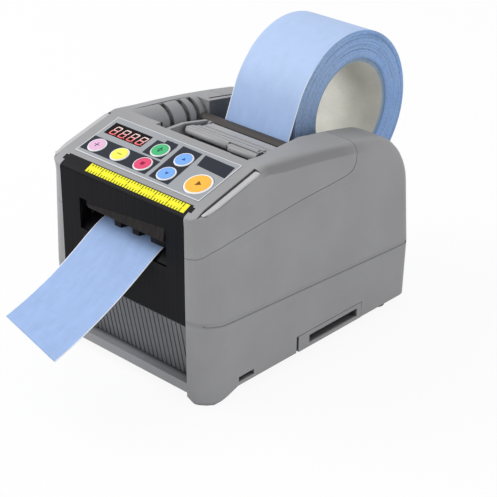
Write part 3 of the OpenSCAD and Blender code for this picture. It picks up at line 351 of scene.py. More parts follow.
def moulded_plastic(name, colour, rough=0.48, shine=0.35, groove_shade=0.8, zones=None):
    """Spark-textured injection moulding: faint flow clouds, rub marks, and painted shade in its grooves.

    The zones are pairs of a mask and a tone, each painted shade or painted light; the painted groove shade is
    taken off all but the shaded insides.
    """
    made = Finish(name, Specular_IOR_Level=shine)
    cloud = made.noise(0.035, 3)
    rub = made.span(made.noise(0.004, 4, (1, 9, 1)), 0.64, 0.78)
    body = made.mottled(colour, cloud, 0.95, 1.05)
    body = made.mix(rub * 0.18, body, toned(colour, 1.3))
    # Painted shade: darker in grooves and corners, the more shut in a spot is.
    painted_groove_shade = enclosed(made) * groove_shade
    for mask, tone in zones(made) if zones else ():
        body = made.mix(mask, body, toned(colour, tone))
        # Zones other than the shaded insides have the painted groove shade taken off.
        if tone > SHADED_INSIDE:
            painted_groove_shade = painted_groove_shade * (1 - mask)
    made.set(Base_Color=made.mix(painted_groove_shade, body, toned(colour, 0.15)))
    made.set(Roughness=rough - 0.06 + cloud * 0.12 + rub * 0.08)
    return made.bump(made.noise(0.0004), 0.00005, 0.5)


def black_moulding(name, colour):
    """Black cover plastic with the fine upright drag marks of its polished mould."""
    made = Finish(name, Specular_IOR_Level=0.08)
    streak = made.noise(0.0016, 3, (1, 1, 40))
    cloud = made.noise(0.03)
    body = made.mottled(colour, streak, 0.7, 1.7, 0.35)
    made.set(Base_Color=made.mix(made.span(cloud, 0.35, 0.75) * 0.4, body, toned(colour, 1.4)))
    made.set(Roughness=0.34 + streak * 0.25)
    return made.bump(streak, 0.00008, 0.6)


def printed_film(name, colour, rim):
    """Satin polyester overlay: back-printed silver with a painted highlight along its edge."""
    made = Finish(name, Specular_IOR_Level=0.2)
    x, y, _ = made.axes()
    low, high = (on_panel(0, v, 0).y for v in (OVERLAY_FOOT + OVERLAY_HIGHLIGHT, OVERLAY_END - OVERLAY_HIGHLIGHT))
    # Painted highlight: a pale band along the film's edges.
    edge = (abs(x) > (OVERLAY_HALF - OVERLAY_HIGHLIGHT) * MM).higher(y < low).higher(y > high)
    fleck = made.noise(0.0005)
    cloud = made.noise(0.02)
    body = made.mottled(colour, fleck, 0.95, 1.05)
    body = made.mix(made.span(cloud, 0.35, 0.7) * 0.3, body, toned(colour, 1.08))
    made.set(Base_Color=made.mix(edge * 0.75, body, toned(rim)))
    made.set(Roughness=0.34 + fleck * 0.14)
    return made.bump(fleck, 0.00002, 0.4)


def ink(name, colour, rough=0.4):
    """Screen-printed ink with the fine speckle of its mesh."""
    made = Finish(name, Specular_IOR_Level=0.1)
    speck = made.noise(0.0004)
    cloud = made.noise(0.006)
    body = made.mottled(colour, speck, 0.86, 1.14, 0.35)
    made.set(Base_Color=made.mix(made.span(cloud, 0.4, 0.7) * 0.4, body, toned(colour, 1.06)))
    made.set(Roughness=rough - 0.05 + speck * 0.1)
    return made.bump(speck, 0.00001, 0.5)


def key_print(name, colour, middle, radius):
    """Coloured disc of a key, a little deeper towards its rim."""
    made = Finish(name, Specular_IOR_Level=0.2)
    rim = made.span(made.vector("DISTANCE", made.spot(), middle, "Value"), radius * 0.6, radius)
    speck = made.noise(0.0005)
    body = made.mottled(colour, speck, 0.94, 1.04)
    made.set(Base_Color=made.mix(rim * 0.5, body, toned(colour, 0.9)))
    return made.set(Roughness=0.36 + speck * 0.12)


def gloss_plastic(name, colour, rough=0.22, shine=0.5):
    """Polished moulding with faint sink marks."""
    made = Finish(name, Specular_IOR_Level=shine)
    cloud = made.noise(0.005, 3)
    made.set(Base_Color=made.mottled(colour, cloud, 0.94, 1.05), Roughness=rough + cloud * 0.08)
    return made.bump(cloud, 0.00003, 0.3)


def digit_light(name, colour, pale):
    """Lit segment of the display, washed out towards its top."""
    made = Finish(name, Roughness=0.5, Emission_Strength=0.55)
    _, y, _ = made.axes()
    low, high = (on_panel(0, DISPLAY_SPOT[1] + side, 0).y for side in (-DISPLAY_HALF, DISPLAY_HALF))
    washed = made.span(y + made.noise(0.0016, 1) * 0.003, low, high)
    glow = made.mix(washed, toned(colour), toned(pale))
    return made.set(Base_Color=glow, Emission_Color=glow)


def tape_cloth(name, colour):
    """Blue backing of the tape: soft threads, cross creases and mottled dye, with painted light high on the
    roll.
    """
    made = Finish(name, Specular_IOR_Level=0.25)
    thread = made.noise(0.0008, 3, (1, 14, 14))
    cross = made.noise(0.0009, 2, (22, 1, 1))
    cloud = made.noise(0.006, 3, (1, 2, 2))
    body = made.mottled(colour, cloud, 0.93, 1.05, 0.3, 0.72)
    body = made.mix(made.span(thread, 0.35, 0.75) * 0.3, body, toned(colour, 1.14))
    body = made.mix(made.span(cross, 0.5, 0.8) * 0.35, body, toned(colour, 0.84))
    _, _, z = made.axes()
    # Painted light: paler with height, from below the roll's axis to near its top.
    low, high = (casing_spot(0, 0, ROLL_AXIS[1] + ROLL_R * share).z for share in (-0.2, 0.6))
    made.set(Base_Color=made.mix(made.span(z, low, high) * 0.32, body, toned(paint(214, 230, 252))))
    made.set(Roughness=0.52 + thread * 0.14)
    return made.bump(thread * 0.6 + cross * 0.4, 0.00006, 0.6)


def from_roll_axis(made):
    """Place of a point measured from the middle of the tape roll."""
    return made.axes(made.vector("SUBTRACT", made.spot(), casing_spot(0, *ROLL_AXIS)))


def tape_edges(name, colour):
    """Side of the wound tape: fine turns and gaps, loose nap, dusty glue, greyer towards the front."""
    made = Finish(name, Specular_IOR_Level=0.15)
    _, y, z = from_roll_axis(made)
    radius = (y * y + z * z).math("SQRT")
    line = made.noise_at(made.joined(radius * 2600, y * 30, z * 30), 3)
    gap = made.span(made.noise_at(made.joined(radius * 1000, y * 16, z * 16), 1), 0.55, 0.64)
    fine = made.noise(0.0008, 3)
    dust = made.noise(0.02, 3)
    nap = made.noise(0.0014, 3)
    dusty = made.span(dust, 0.42, 0.68) * 0.3 * made.span(fine, 0.4, 0.7)
    body = made.mottled(colour, line, 0.82, 1.14, 0.32, 0.68)
    body = made.mix(dusty, body, toned(paint(205, 205, 198)))
    body = made.mix(made.fade(y, -0.05, 0.02, 0.5), body, toned(paint(158, 174, 190)))
    body = made.mix(made.span(nap, 0.5, 0.64) * 0.45, body, toned(colour, 0.45))
    made.set(Base_Color=made.mix(gap * 0.4, body, toned(colour, 0.36)))
    made.set(Roughness=0.6 + fine * 0.15)
    return made.bump(line - gap * 0.6, 0.0001, 0.7)


def paper_board(name, colour):
    """Spirally wound paper tube with its lap lines and loose fibres."""
    made = Finish(name, Specular_IOR_Level=0.15)
    x, y, z = from_roll_axis(made)
    turn = z.math("ARCTAN2", y) / (2 * math.pi)
    lap = abs((x / 0.085 + turn).math("FRACT") - 0.5)
    seam = made.fade(lap, 0.0, 0.008)
    fibre = made.noise(0.0011, 4, (5, 1, 1))
    cloud = made.noise(0.018, 3)
    body = made.mottled(colour, cloud, 0.9, 1.04)
    body = made.mix(made.span(fibre, 0.5, 0.75) * 0.3, body, toned(colour, 0.8))
    made.set(Base_Color=made.mix(seam * 0.35, body, toned(colour, 0.55)))
    made.set(Roughness=0.78 + fibre * 0.12)
    return made.bump(fibre - seam * 0.8, 0.00012, 0.6)


def drawn_metal(name, colour, rough=0.28, stretch=(30, 1, 1)):
    """Metal with the fine lines of its rolling, drawing or grinding."""
    made = Finish(name, Metallic=1.0)
    line = made.noise(0.0005, 3, stretch)
    cloud = made.noise(0.012, 3)
    body = made.mottled(colour, line, 0.88, 1.08)
    made.set(Base_Color=made.mix(made.span(cloud, 0.45, 0.75) * 0.35, body, toned(colour, 0.78)))
    made.set(Roughness=rough - 0.06 + line * 0.14 + cloud * 0.06)
    return made.bump(line, 0.00002, 0.5)


def turned_metal(name, colour, rough):
    """Metal turned on a lathe, with an even grain."""
    return drawn_metal(name, colour, rough, (1, 1, 1))


def painted_sheet(name, colour):
    """Powder-coated steel with an orange-peel skin."""
    made = Finish(name, Specular_IOR_Level=0.35)
    peel = made.noise(0.0011)
    cloud = made.noise(0.02, 3)
    made.set(Base_Color=made.mottled(colour, cloud, 0.85, 1.15), Roughness=0.44 + peel * 0.12)
    return made.bump(peel, 0.00008, 0.5)


def rubber_skin(name, colour):
    """Ground rubber, dusted paler on its high spots."""
    made = Finish(name, Specular_IOR_Level=0.2)
    pit = made.noise(0.0008, 3)
    dust = made.span(made.noise(0.008, 3), 0.45, 0.75) * 0.5
    made.set(Base_Color=made.mix(dust, toned(colour, 0.9), toned(colour, 1.7)), Roughness=0.72 + pit * 0.18)
    return made.bump(pit, 0.0001, 0.6)


def circuit_board(name, colour, tin):
    """Solder mask over copper runs, with tinned pads."""
    made = Finish(name, Specular_IOR_Level=0.5)
    run = made.noise(0.003, 1, (9, 1, 1)) > 0.54
    cross = made.noise(0.003, 1, (1, 9, 9)) > 0.6
    grain = made.noise(0.0006)
    pad = made.noise(0.0022, 0) > 0.71
    body = made.mix(run.higher(cross), toned(colour, 0.85), toned(colour, 1.5))
    body = made.mix(made.span(grain, 0.3, 0.7) * 0.25, body, toned(colour, 0.7))
    made.set(Base_Color=made.mix(pad, body, toned(tin)), Roughness=0.34 + grain * 0.14, Metallic=pad * 0.9)
    return made.bump(run.higher(pad), 0.00004, 0.4)


# Mesh building.


def add_prism(bm, outline, low, high, place):
    """A closed plate over a flat outline."""
    rings = [[bm.verts.new(place(u, v, h)) for u, v in outline] for h in (low, high)]
    bm.faces.new(rings[0])
    bm.faces.new(rings[1])
    for i in range(len(outline)):
        j = (i + 1) % len(outline)
        bm.faces.new((rings[0][i], rings[0][j], rings[1][j], rings[1][i]))


def add_turned(bm, rings, closed=False, smooth=True):
    """Skins a list of point rings; closed joins the last ring to the first, otherwise ends get caps."""
    rows = [[bm.verts.new(p) for p in ring] for ring in rings]
    n = len(rows[0])
    for a, b in zip(rows, rows[1:] + (rows[:1] if closed else [])):
        for i in range(n):
            j = (i + 1) % n
            bm.faces.new((a[i], a[j], b[j], b[i])).smooth = smooth
    if not closed:
        bm.faces.new(rows[0])
        bm.faces.new(rows[-1])


def add_strip(bm, lines, thickness):
    """A closed sheet: lines are rows of (point, normal) across it; its cut edges take the second finish."""
    half = thickness / 2
    rows = [[bm.verts.new(p + n * half) for p, n in line] for line in lines]
    under = [[bm.verts.new(p - n * half) for p, n in line] for line in lines]
    last_row, last = len(rows) - 1, len(rows[0]) - 1
    for i in range(last_row):
        for j in range(last):
            cut = 1 if j in (0, last - 1) else 0
            for side, turn in ((rows, 1), (under, -1)):
                corners = (side[i][j], side[i][j + 1], side[i + 1][j + 1], side[i + 1][j])
                face = bm.faces.new(corners[::turn])
                face.smooth = True
                face.material_index = cut
        for j in (0, last):
            bm.faces.new((rows[i][j], rows[i + 1][j], under[i + 1][j], under[i][j])).material_index = 1
    for i in (0, last_row):
        for j in range(last):
            bm.faces.new((rows[i][j], rows[i][j + 1], under[i][j + 1], under[i][j])).material_index = 1


def strip_columns(count):
    """Places across the tape from -1 to 1, with a narrow column along each cut edge."""
    inner = 1 - 2 * GLUE_EDGE / TAPE_W
    return [-1.0] + [inner * (2 * j / count - 1) for j in range(count + 1)] + [1.0]


def add_field(bm, outline):
    """A printed field with a hole for each key that stands in it."""
    lows, highs = zip(*((min(side), max(side)) for side in zip(*outline)))
    held = [key for key in KEYS.values() if all(a < c < b for a, c, b in zip(lows, key.middle, highs))]
    lifted, edges = {}, []
    for loop in [outline] + [circle(key.middle, key.radius + KEY_GAP) for key in held]:
        ring = []
        for u, v in loop:
            ring.append(bm.verts.new(on_panel(u, v, PRINT_LOW)))
            lifted[ring[-1]] = bm.verts.new(on_panel(u, v, PRINT_HIGH))
        edges += [bm.edges.new(pair) for pair in zip(ring, ring[1:] + ring[:1])]
    filled = bmesh.ops.triangle_fill(bm, use_beauty=True, edges=edges)["geom"]
    for face in [item for item in filled if isinstance(item, bmesh.types.BMFace)]:
        bm.faces.new([lifted[v] for v in face.verts])
    for edge in edges:
        a, b = edge.verts
        bm.faces.new((a, b, lifted[b], lifted[a]))


def bezier(points, t):
    """Point of a flat cubic curve."""
    s = 1 - t
    weights = (s ** 3, 3 * s * s * t, 3 * s * t * t, t ** 3)
    return tuple(sum(w * p[k] for w, p in zip(weights, points)) for k in (0, 1))


def run_length(spots):
    return sum(math.dist(a, b) for a, b in zip(spots, spots[1:]))


# Pieces and solids.


def new_piece(name, body, slot, finishes, build, stands_for=()):
    """Makes a mesh piece, gives it its finishes and lets it ride on its body."""
    mesh = bpy.data.meshes.new(name)
    bm = bmesh.new()
    build(bm)
    bmesh.ops.recalc_face_normals(bm, faces=bm.faces)
    bm.to_mesh(mesh)
    bm.free()
    piece = bpy.data.objects.new(name, mesh)
    bpy.context.scene.collection.objects.link(piece)
    for finish in finishes:
        mesh.materials.append(finish.holder)
    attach(piece, body)
    if stands_for:
        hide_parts(*stands_for)
    return piece


def dress(finish, *names, edge=0.3):
    """Gives CAD solids a finish, shades their rounds smoothly and breaks their sharp edges."""
    for name in names:
        solid = SOLIDS[name]
        solid.data.materials.clear()
        solid.data.materials.append(finish.holder)
        for layer in ("custom_normal", "sharp_edge", "sharp_face"):
            if layer in solid.data.attributes:
                solid.data.attributes.remove(solid.data.attributes[layer])
        break_edges(solid, edge)


def break_edges(solid, edge):
    """Rounds the sharp edges by a width in millimetres, or only splits them where it is 0."""
    weld = solid.modifiers.new("Weld", "WELD")
    weld.merge_threshold = WELD_REACH
    if edge:
        bevel = solid.modifiers.new("Broken edges", "BEVEL")
        bevel.width = edge * MM
        bevel.segments = 2
        bevel.limit_method = "ANGLE"
        bevel.angle_limit = EDGE_ANGLE
        bevel.use_clamp_overlap = True
    else:
        split = solid.modifiers.new("Sharp edges", "EDGE_SPLIT")
        split.split_angle = EDGE_ANGLE
    normals = solid.modifiers.new("Flat faces", "WEIGHTED_NORMAL")
    normals.weight = 100
    normals.keep_sharp = True


# Sizes and colours that a user may change.


def colour_prop(name, description, chip):
    return bpy.props.FloatVectorProperty(
        name=name, description=description, default=paint(*chip), size=3, min=0, max=1, subtype="COLOR")


class DispenserLook(bpy.types.PropertyGroup):
    """Colours and fine sizes of the dispenser."""

    case_colour: colour_prop("Casing", "Grey of both halves of the casing", (152, 152, 154))
    cover_colour: colour_prop("Outlet cover", "Black of the cover round the outlet", (17, 17, 20))
    rib_colour: colour_prop("Ribbed panel", "Grey of the ribbed panel", (106, 107, 110))
    film_colour: colour_prop("Overlay", "Silver of the key panel's overlay", (157, 161, 166))
    ink_colour: colour_prop("Panel ink", "Dark fields printed round the keys", (42, 46, 56))
    band_colour: colour_prop("Band", "Yellow band over the outlet", (246, 238, 40))
    tape_colour: colour_prop("Tape", "Backing of the tape", (156, 183, 228))
    wound_colour: colour_prop("Wound tape", "Side of the tape roll", (143, 181, 234))
    core_colour: colour_prop("Core", "Paper tube inside the roll", (217, 216, 208))
    turns: bpy.props.IntProperty(
        name="Turns", description="Turns of tape that show on the roll's side", default=36, min=8, max=80)
    turn_step: bpy.props.FloatProperty(
        name="Turn step", description="How far one turn may stand back from the next", default=0.22 * MM,
        min=0, max=1 * MM, unit="LENGTH")
    tape_thickness: bpy.props.FloatProperty(
        name="Tape", description="Thickness of the tape strip", default=0.3 * MM,
        min=0.05 * MM, max=0.6 * MM, unit="LENGTH")


class StudioLook(bpy.types.PropertyGroup):
    """Camera and light of the studio."""

    eye: bpy.props.FloatVectorProperty(
        name="Camera", description="Place of the camera", default=EYE, subtype="TRANSLATION", unit="LENGTH")
    target: bpy.props.FloatVectorProperty(
        name="Target", description="Point that the camera faces", default=TARGET, subtype="TRANSLATION",
        unit="LENGTH")
    lens: bpy.props.FloatProperty(
        name="Lens", description="Focal length on a 36 mm sensor", default=112.39, min=20, max=300,
        unit="CAMERA")
    sky: bpy.props.FloatProperty(
        name="Sky", description="Strength of the even light from all round", default=0.68, min=0, max=2)
    key: bpy.props.FloatProperty(
        name="Key", description="Power of the large lamp above, in watts", default=15, min=0, max=200)
    fill: bpy.props.FloatProperty(
        name="Fill", description="Power of the lamp on the right, in watts", default=3, min=0, max=100)
    floor_span: bpy.props.FloatProperty(
        name="Floor", description="Length of the floor's sides", default=9, min=2, max=20, unit="LENGTH")


def look():
    return bpy.context.scene.dispenser_look


# Operators: the stage, then the machine piece by piece.


class DISPENSER_OT_stage(bpy.types.Operator):
    """Sets the camera, two soft lamps, the floor and the even sky"""

    bl_idname = "dispenser.stage"
    bl_label = "Stage"

    def execute(self, context):
        scene = context.scene
        studio = scene.dispenser_studio
        scene.view_settings.view_transform = "Standard"
        scene.camera = self.camera(scene, studio)
        self.lamp(scene, "Key lamp", KEY_LAMP, KEY_SIZE, studio.key)
        self.lamp(scene, "Side lamp", SIDE_LAMP, SIDE_SIZE, studio.fill)
        self.floor(scene, studio.floor_span / 2)
        self.sky(scene, studio.sky)
        return {"FINISHED"}

    def camera(self, scene, studio):
        camera = bpy.data.objects.new("Camera", bpy.data.cameras.new("Camera"))
        camera.data.lens = studio.lens
        camera.data.sensor_width = SENSOR
        self.aim(scene, camera, Vector(studio.eye), Vector(studio.target))
        return camera

    def lamp(self, scene, name, place, size, power):
        data = bpy.data.lights.new(name, "AREA")
        data.size = size
        data.energy = power
        self.aim(scene, bpy.data.objects.new(name, data), Vector(place), LAMP_AIM)

    def aim(self, scene, thing, place, target):
        """Puts a camera or lamp in its place and turns it to its target."""
        thing.location = place
        thing.rotation_euler = (target - place).to_track_quat("-Z", "Y").to_euler()
        scene.collection.objects.link(thing)

    def seen(self, finish):
        """1 for rays that show the background itself, 0 for its light on the object."""
        rays = finish.node("ShaderNodeLightPath").socket.node.outputs
        names = ("Is Camera Ray", "Is Glossy Ray", "Is Transmission Ray")
        camera, glossy, through = (Wire(finish, rays[name]) for name in names)
        return camera.higher(glossy).higher(through)

    def floor(self, scene, half):
        """Pale paper that shows nearly white and keeps the object's shadow."""
        mesh = bpy.data.meshes.new("floor")
        corners = [(-half, -half, 0), (half, -half, 0), (half, half, 0), (-half, half, 0)]
        mesh.from_pydata(corners, [], [(0, 1, 2, 3)])
        floor = bpy.data.objects.new("floor", mesh)
        scene.collection.objects.link(floor)
        made = Finish("studio floor", Roughness=0.9, Specular_IOR_Level=0.0)
        made.set(Base_Color=made.mix(made.noise(0.4), toned(WHITE, 0.86), toned(WHITE, 0.9)))
        white = made.node("ShaderNodeEmission", None, {"Color": WHITE, "Strength": 1.0})
        shades = {0: self.seen(made) * FLOOR_WHITE, 1: Wire(made, made.shader.outputs[0]), 2: white}
        shown = made.node("ShaderNodeMixShader", None, shades)
        made.feed(made.tree.nodes["Material Output"].inputs["Surface"], shown)
        mesh.materials.append(made.holder)

    def sky(self, scene, strength):
        """Even light from all round that shows white itself."""
        scene.world = scene.world or bpy.data.worlds.new("World")
        made = Finish("sky", scene.world)
        made.tree.nodes.clear()
        light, white = (made.node("ShaderNodeBackground", None, {"Color": WHITE, "Strength": power})
                        for power in (strength, 1.0))
        shown = made.node("ShaderNodeMixShader", None, {0: self.seen(made), 1: light, 2: white})
        made.node("ShaderNodeOutputWorld", None, {"Surface": shown})


class DISPENSER_OT_casing(bpy.types.Operator):
    """Finishes both halves of the casing, its base, feet, screws and clip"""

    bl_idname = "dispenser.casing"
    bl_label = "Casing"

    def execute(self, context):
        grey = look().case_colour
        # Both halves take painted shade in the well and on the shoulders; the lower one also painted shade
        # and light along its belt crease.
        upper = moulded_plastic("upper casing", grey, zones=self.upper_shade_zones)
        lower = moulded_plastic("lower casing", toned(grey, 0.97), zones=self.lower_shade_and_light_zones)
        dress(upper, "upper_case", edge=0)
        dress(lower, "lower_case", edge=0)
        # The beads' pale grey is a painted highlight, standing in for the shine along the ledges.
        pale = moulded_plastic("edge strips painted highlight", paint(188, 188, 190), 0.4)
        for side, name in ((1, "edge_strip_right"), (-1, "edge_strip_left")):
            new_piece(name, "casing", "case_upper", [pale], lambda bm: self.bead(bm, side))
        dress(moulded_plastic("side clip", toned(grey, 0.95), zones=self.slot_shade_zones), "side_clip")
        dress(painted_sheet("base sheet", paint(58, 60, 64)), "base_plate")
        dress(rubber_skin("feet", paint(34, 35, 37)), "rubber_feet")
        dress(turned_metal("screws", paint(186, 188, 192), 0.32), "base_screws", edge=0.15)
        return {"FINISHED"}

    def upper_shade_zones(self, made):
        return [(self.well(made), SHADED_INSIDE), (self.shoulder_shade(made), SHADED_ROUND)]

    def lower_shade_and_light_zones(self, made):
        return self.upper_shade_zones(made) + self.belt(made)

    def slot_shade_zones(self, made):
        """Painted shade at the bottom of the clip's finger slot."""
        x, _, _ = made.axes()
        return [((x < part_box("side_clip")[1].x - SLOT_DEPTH) * SLOT_SHADE, SHADED_INSIDE)]

    def well(self, made):
        """Part of the casing that lies inside the roll well, painted darker as shade."""
        x, y, z = made.axes()
        near, far = (casing_spot(0, spot, WELL_Z) for spot in WELL_Y)
        return (abs(x) < WELL_HALF * MM) * (y > near.y) * (y < far.y) * (z > near.z) * WELL_SHADE

    def shoulder_shade(self, made):
        """Painted shade on the rounds of both shoulders behind the key panel, where they face outwards."""
        x, y, z = made.axes()
        out, _, up = made.axes(made.node("ShaderNodeNewGeometry", out="Normal"))
        near, full, fading, far = (casing_spot(0, spot, SHOULDER_Z) for spot in SHOULDER_Y)
        rounded = made.span(up, *SHOULDER_STEEP) * made.fade(up, *SHOULDER_LEVEL) * (out * x > 0)
        along = made.span(y, near.y, full.y) * made.fade(y, fading.y, far.y)
        return rounded * along * (z > near.z)

    def belt(self, made):
        """Painted shade as a soft crease along the belt line, and painted light at the groove's bottom
        against its own shade.
        """
        _, y, z = made.axes()
        near, far = (casing_spot(0, *spot) for spot in BELT)
        off = abs(z - near.z - (y - near.y) * ((far.z - near.z) / (far.y - near.y)))
        # Painted shade beside the crease.
        soft = made.fade(off, *BELT_SOFT, BELT_SHADE)
        # Painted light inside the groove, lifting its real shade.
        bottom = made.fade(off, *BELT_BOTTOM) * (y > casing_spot(0, BELT_CUT_Y, 0).y)
        return [(soft, SHADED_CREASE), (bottom, LIT_CREASE)]

    def bead(self, bm, side):
        """Rounded strip that lies on the ledge beside the key panel."""
        rings = []
        for inner, inset, height in BEAD_RINGS:
            ring = []
            for u, v in LEDGE:
                across = inner if u < LEDGE_MIDDLE[0] else -inset
                along = inset if v < LEDGE_MIDDLE[1] else -inset
                ring.append(on_panel(side * (u + across), v + along, height))
            rings.append(ring)
        add_turned(bm, rings, smooth=False)


class DISPENSER_OT_front(bpy.types.Operator):
    """Finishes the outlet cover and the ribbed panel, adds the hood's lip and lays the yellow band"""

    bl_idname = "dispenser.front"
    bl_label = "Front"

    def execute(self, context):
        colours = look()
        dress(black_moulding("outlet cover", colours.cover_colour), "front_cover")
        # The ribbed panel takes less painted shade in its grooves.
        ribbed = moulded_plastic("ribbed panel", colours.rib_colour, 0.5, 0.3, groove_shade=0.3)
        dress(ribbed, "rib_panel", edge=0.2)
        lip = black_moulding("hood lip", paint(36, 34, 33))
        new_piece("hood_lip", "casing", "black_plastic", [lip], self.hood)
        band = ink("band", colours.band_colour, 0.35)
        new_piece("yellow_band", "casing", "yellow", [band],
                  lambda bm: add_prism(bm, BAND, *BAND_HEIGHTS, on_chamfer))
        black = ink("scale", paint(30, 30, 26), 0.5)
        new_piece("band_scale", "casing", "black_plastic", [black], self.scale)
        return {"FINISHED"}

    def hood(self, bm):
        """Lip over the outlet that grows towards its right end."""
        out, up = HOOD_NOSE
        rings = []
        for x, tall, deep in HOOD_LIP:
            section = ((HOOD_ROOT, 0), (-deep, 0), (-deep - out, up), (HOOD_TOP, tall), (HOOD_ROOT, tall))
            rings.append([casing_spot(x, y, HOOD_Z + z) for y, z in section])
        add_turned(bm, rings, smooth=False)

    def scale(self, bm):
        """Ticks along both edges of the band."""
        (left, low), _, (right, high), _ = BAND
        for n in range(1, int((right - left) / TICK_STEP)):
            tall = TICK_SHORT if n % LONG_EVERY else TICK_LONG
            for v in (high - tall / 2, low + tall / 2):
                tick = box_at(left + n * TICK_STEP, v, TICK_WIDE, tall)
                add_prism(bm, tick, *TICK_HEIGHTS, on_chamfer)


class DISPENSER_OT_panel(bpy.types.Operator):
    """Finishes the overlay, prints its dark fields and lights the display"""

    bl_idname = "dispenser.panel"
    bl_label = "Key panel"

    def execute(self, context):
        colours = look()
        # The third colour is the painted highlight along the overlay's edge.
        film = printed_film("overlay", colours.film_colour, paint(226, 229, 233))
        dress(film, "panel_overlay", edge=0.1)
        dark = ink("panel ink", colours.ink_colour, 0.42)
        for name, outline in PRINTED_FIELDS.items():
            new_piece(name, "casing", "overlay_film", [dark], lambda bm: add_field(bm, outline))
        dress(gloss_plastic("display window", paint(12, 7, 8), 0.12, 0.06), "display_window", edge=0.2)
        dress(gloss_plastic("display block", paint(44, 45, 47), 0.5), "display_module")
        dress(gloss_plastic("lamp lens", paint(58, 62, 74), 0.15, 0.2), "status_led", edge=0.25)
        lit = digit_light("digits", paint(222, 50, 56), paint(206, 186, 184))
        new_piece("display_digits", "casing", "red", [lit], self.digits)
        return {"FINISHED"}

    def digits(self, bm):
        """Four digits with every segment and point lit."""
        rise = (DIGIT_TALL - DIGIT_BAR) / 2
        for n in range(DIGITS):
            foot = (DISPLAY_SPOT[0] + DIGIT_CORNER[0] + n * DIGIT_STEP, DISPLAY_SPOT[1] + DIGIT_CORNER[1])
            for row in (0, 1, 2):
                self.segment(bm, foot, (BAR_IN, row * rise), (DIGIT_WIDE - 2 * BAR_IN, DIGIT_BAR))
            for side in (0, 1):
                for row in (0, 1):
                    corner = (side * (DIGIT_WIDE - DIGIT_BAR), row * rise + DIGIT_BAR * BAR_LIFT)
                    self.segment(bm, foot, corner, (DIGIT_BAR, rise - DIGIT_BAR * BAR_LESS))
            self.segment(bm, foot, (DIGIT_WIDE + POINT_GAP, 0), (DIGIT_BAR, DIGIT_BAR))

    def segment(self, bm, foot, corner, size):
        """A bar with cut corners, leaning with its digit."""
        cut = min(size) * BAR_CUT
        x0, y0, x1, y1 = corner[0], corner[1], corner[0] + size[0], corner[1] + size[1]
        outline = [(x0 + cut, y0), (x1 - cut, y0), (x1, y0 + cut), (x1, y1 - cut),
                   (x1 - cut, y1), (x0 + cut, y1), (x0, y1 - cut), (x0, y0 + cut)]
        slanted = [(foot[0] + x + y * DIGIT_LEAN, foot[1] + y) for x, y in outline]
        add_prism(bm, slanted, PRINT_LOW, PRINT_HIGH, on_panel)


class DISPENSER_OT_keys(bpy.types.Operator):
    """Finishes the seven key caps and prints each one's disc and mark"""

    bl_idname = "dispenser.keys"
    bl_label = "Keys"

    def execute(self, context):
        white = gloss_plastic("key caps", paint(243, 244, 245), 0.3)
        for name, key in KEYS.items():
            dress(white, "button_" + name, edge=0.15)
            body = name + "_key"
            radius = key.radius * DISC_SHARE
            disc = key_print("key " + name, paint(*key.chip), on_panel(*key.middle, CAP_TOP), radius * MM)
            new_piece("disc_" + name, body, key.slot, [disc], lambda bm: self.disc(bm, key.middle, radius))
            mark = ink("mark " + name, paint(*key.mark_chip))
            new_piece("mark_" + name, body, key.slot, [mark], lambda bm: self.mark(bm, key))
        return {"FINISHED"}

    def disc(self, bm, middle, radius):
        """Low domed disc on the cap."""
        rings = []
        for share, inset, height in DISC_RINGS:
            ring = circle(middle, radius * share - inset)
            rings.append([on_panel(u, v, CAP_TOP + height) for u, v in ring])
        add_turned(bm, rings)

    def mark(self, bm, key):
        """Plain sign printed on the disc."""
        for outline in key.marks:
            moved = [(key.middle[0] + u, key.middle[1] + v) for u, v in outline]
            add_prism(bm, moved, MARK_LOW, MARK_HIGH, on_panel)


class DISPENSER_OT_flap(bpy.types.Operator):
    """Finishes the flap over the tape guide, its pin and the bar behind it"""

    bl_idname = "dispenser.flap"
    bl_label = "Flap"

    def execute(self, context):
        grey = moulded_plastic("flap", toned(look().case_colour, 1.22))
        dress(grey, "guide_flap", edge=0.4)
        new_piece("flap_lip", "flap", "case_upper", [grey], self.lip)
        new_piece("flap_ribs", "flap", "case_upper", [grey], self.ribs)
        dress(drawn_metal("flap pin", paint(190, 192, 196)), "flap_pin", edge=0.15)
        dress(moulded_plastic("entry bar", paint(72, 68, 66), 0.5, 0.15), "entry_bar")
        return {"FINISHED"}

    def sides(self):
        return (side.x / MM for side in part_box("guide_flap"))

    def lip(self, bm):
        """Rounded front lip, set lower past the finger notch."""
        low, high = self.sides()
        lengths = ((low + LIP_IN, NOTCH_X - NOTCH_HALF), (NOTCH_X + NOTCH_HALF, high - LIP_IN))
        for (x0, x1), z in zip(lengths, LIP_Z):
            ends = ((x0, LIP_END), (x0 + LIP_ROUND, 1), (x1 - LIP_ROUND, 1), (x1, LIP_END))
            rings = []
            for x, share in ends:
                ring = circle((LIP_Y, z), LIP_R * share, 24)
                rings.append([casing_spot(x, *spot) for spot in ring])
            add_turned(bm, rings)

    def ribs(self, bm):
        """Low ribs along the flap's three steps."""
        low, high = self.sides()
        for y, z in FLAP_RIBS:
            ends = (low + RIB_IN, high - RIB_IN)
            rings = [[casing_spot(x, y + a, z + b) for a, b in RIB_SECTION] for x in ends]
            add_turned(bm, rings, smooth=False)


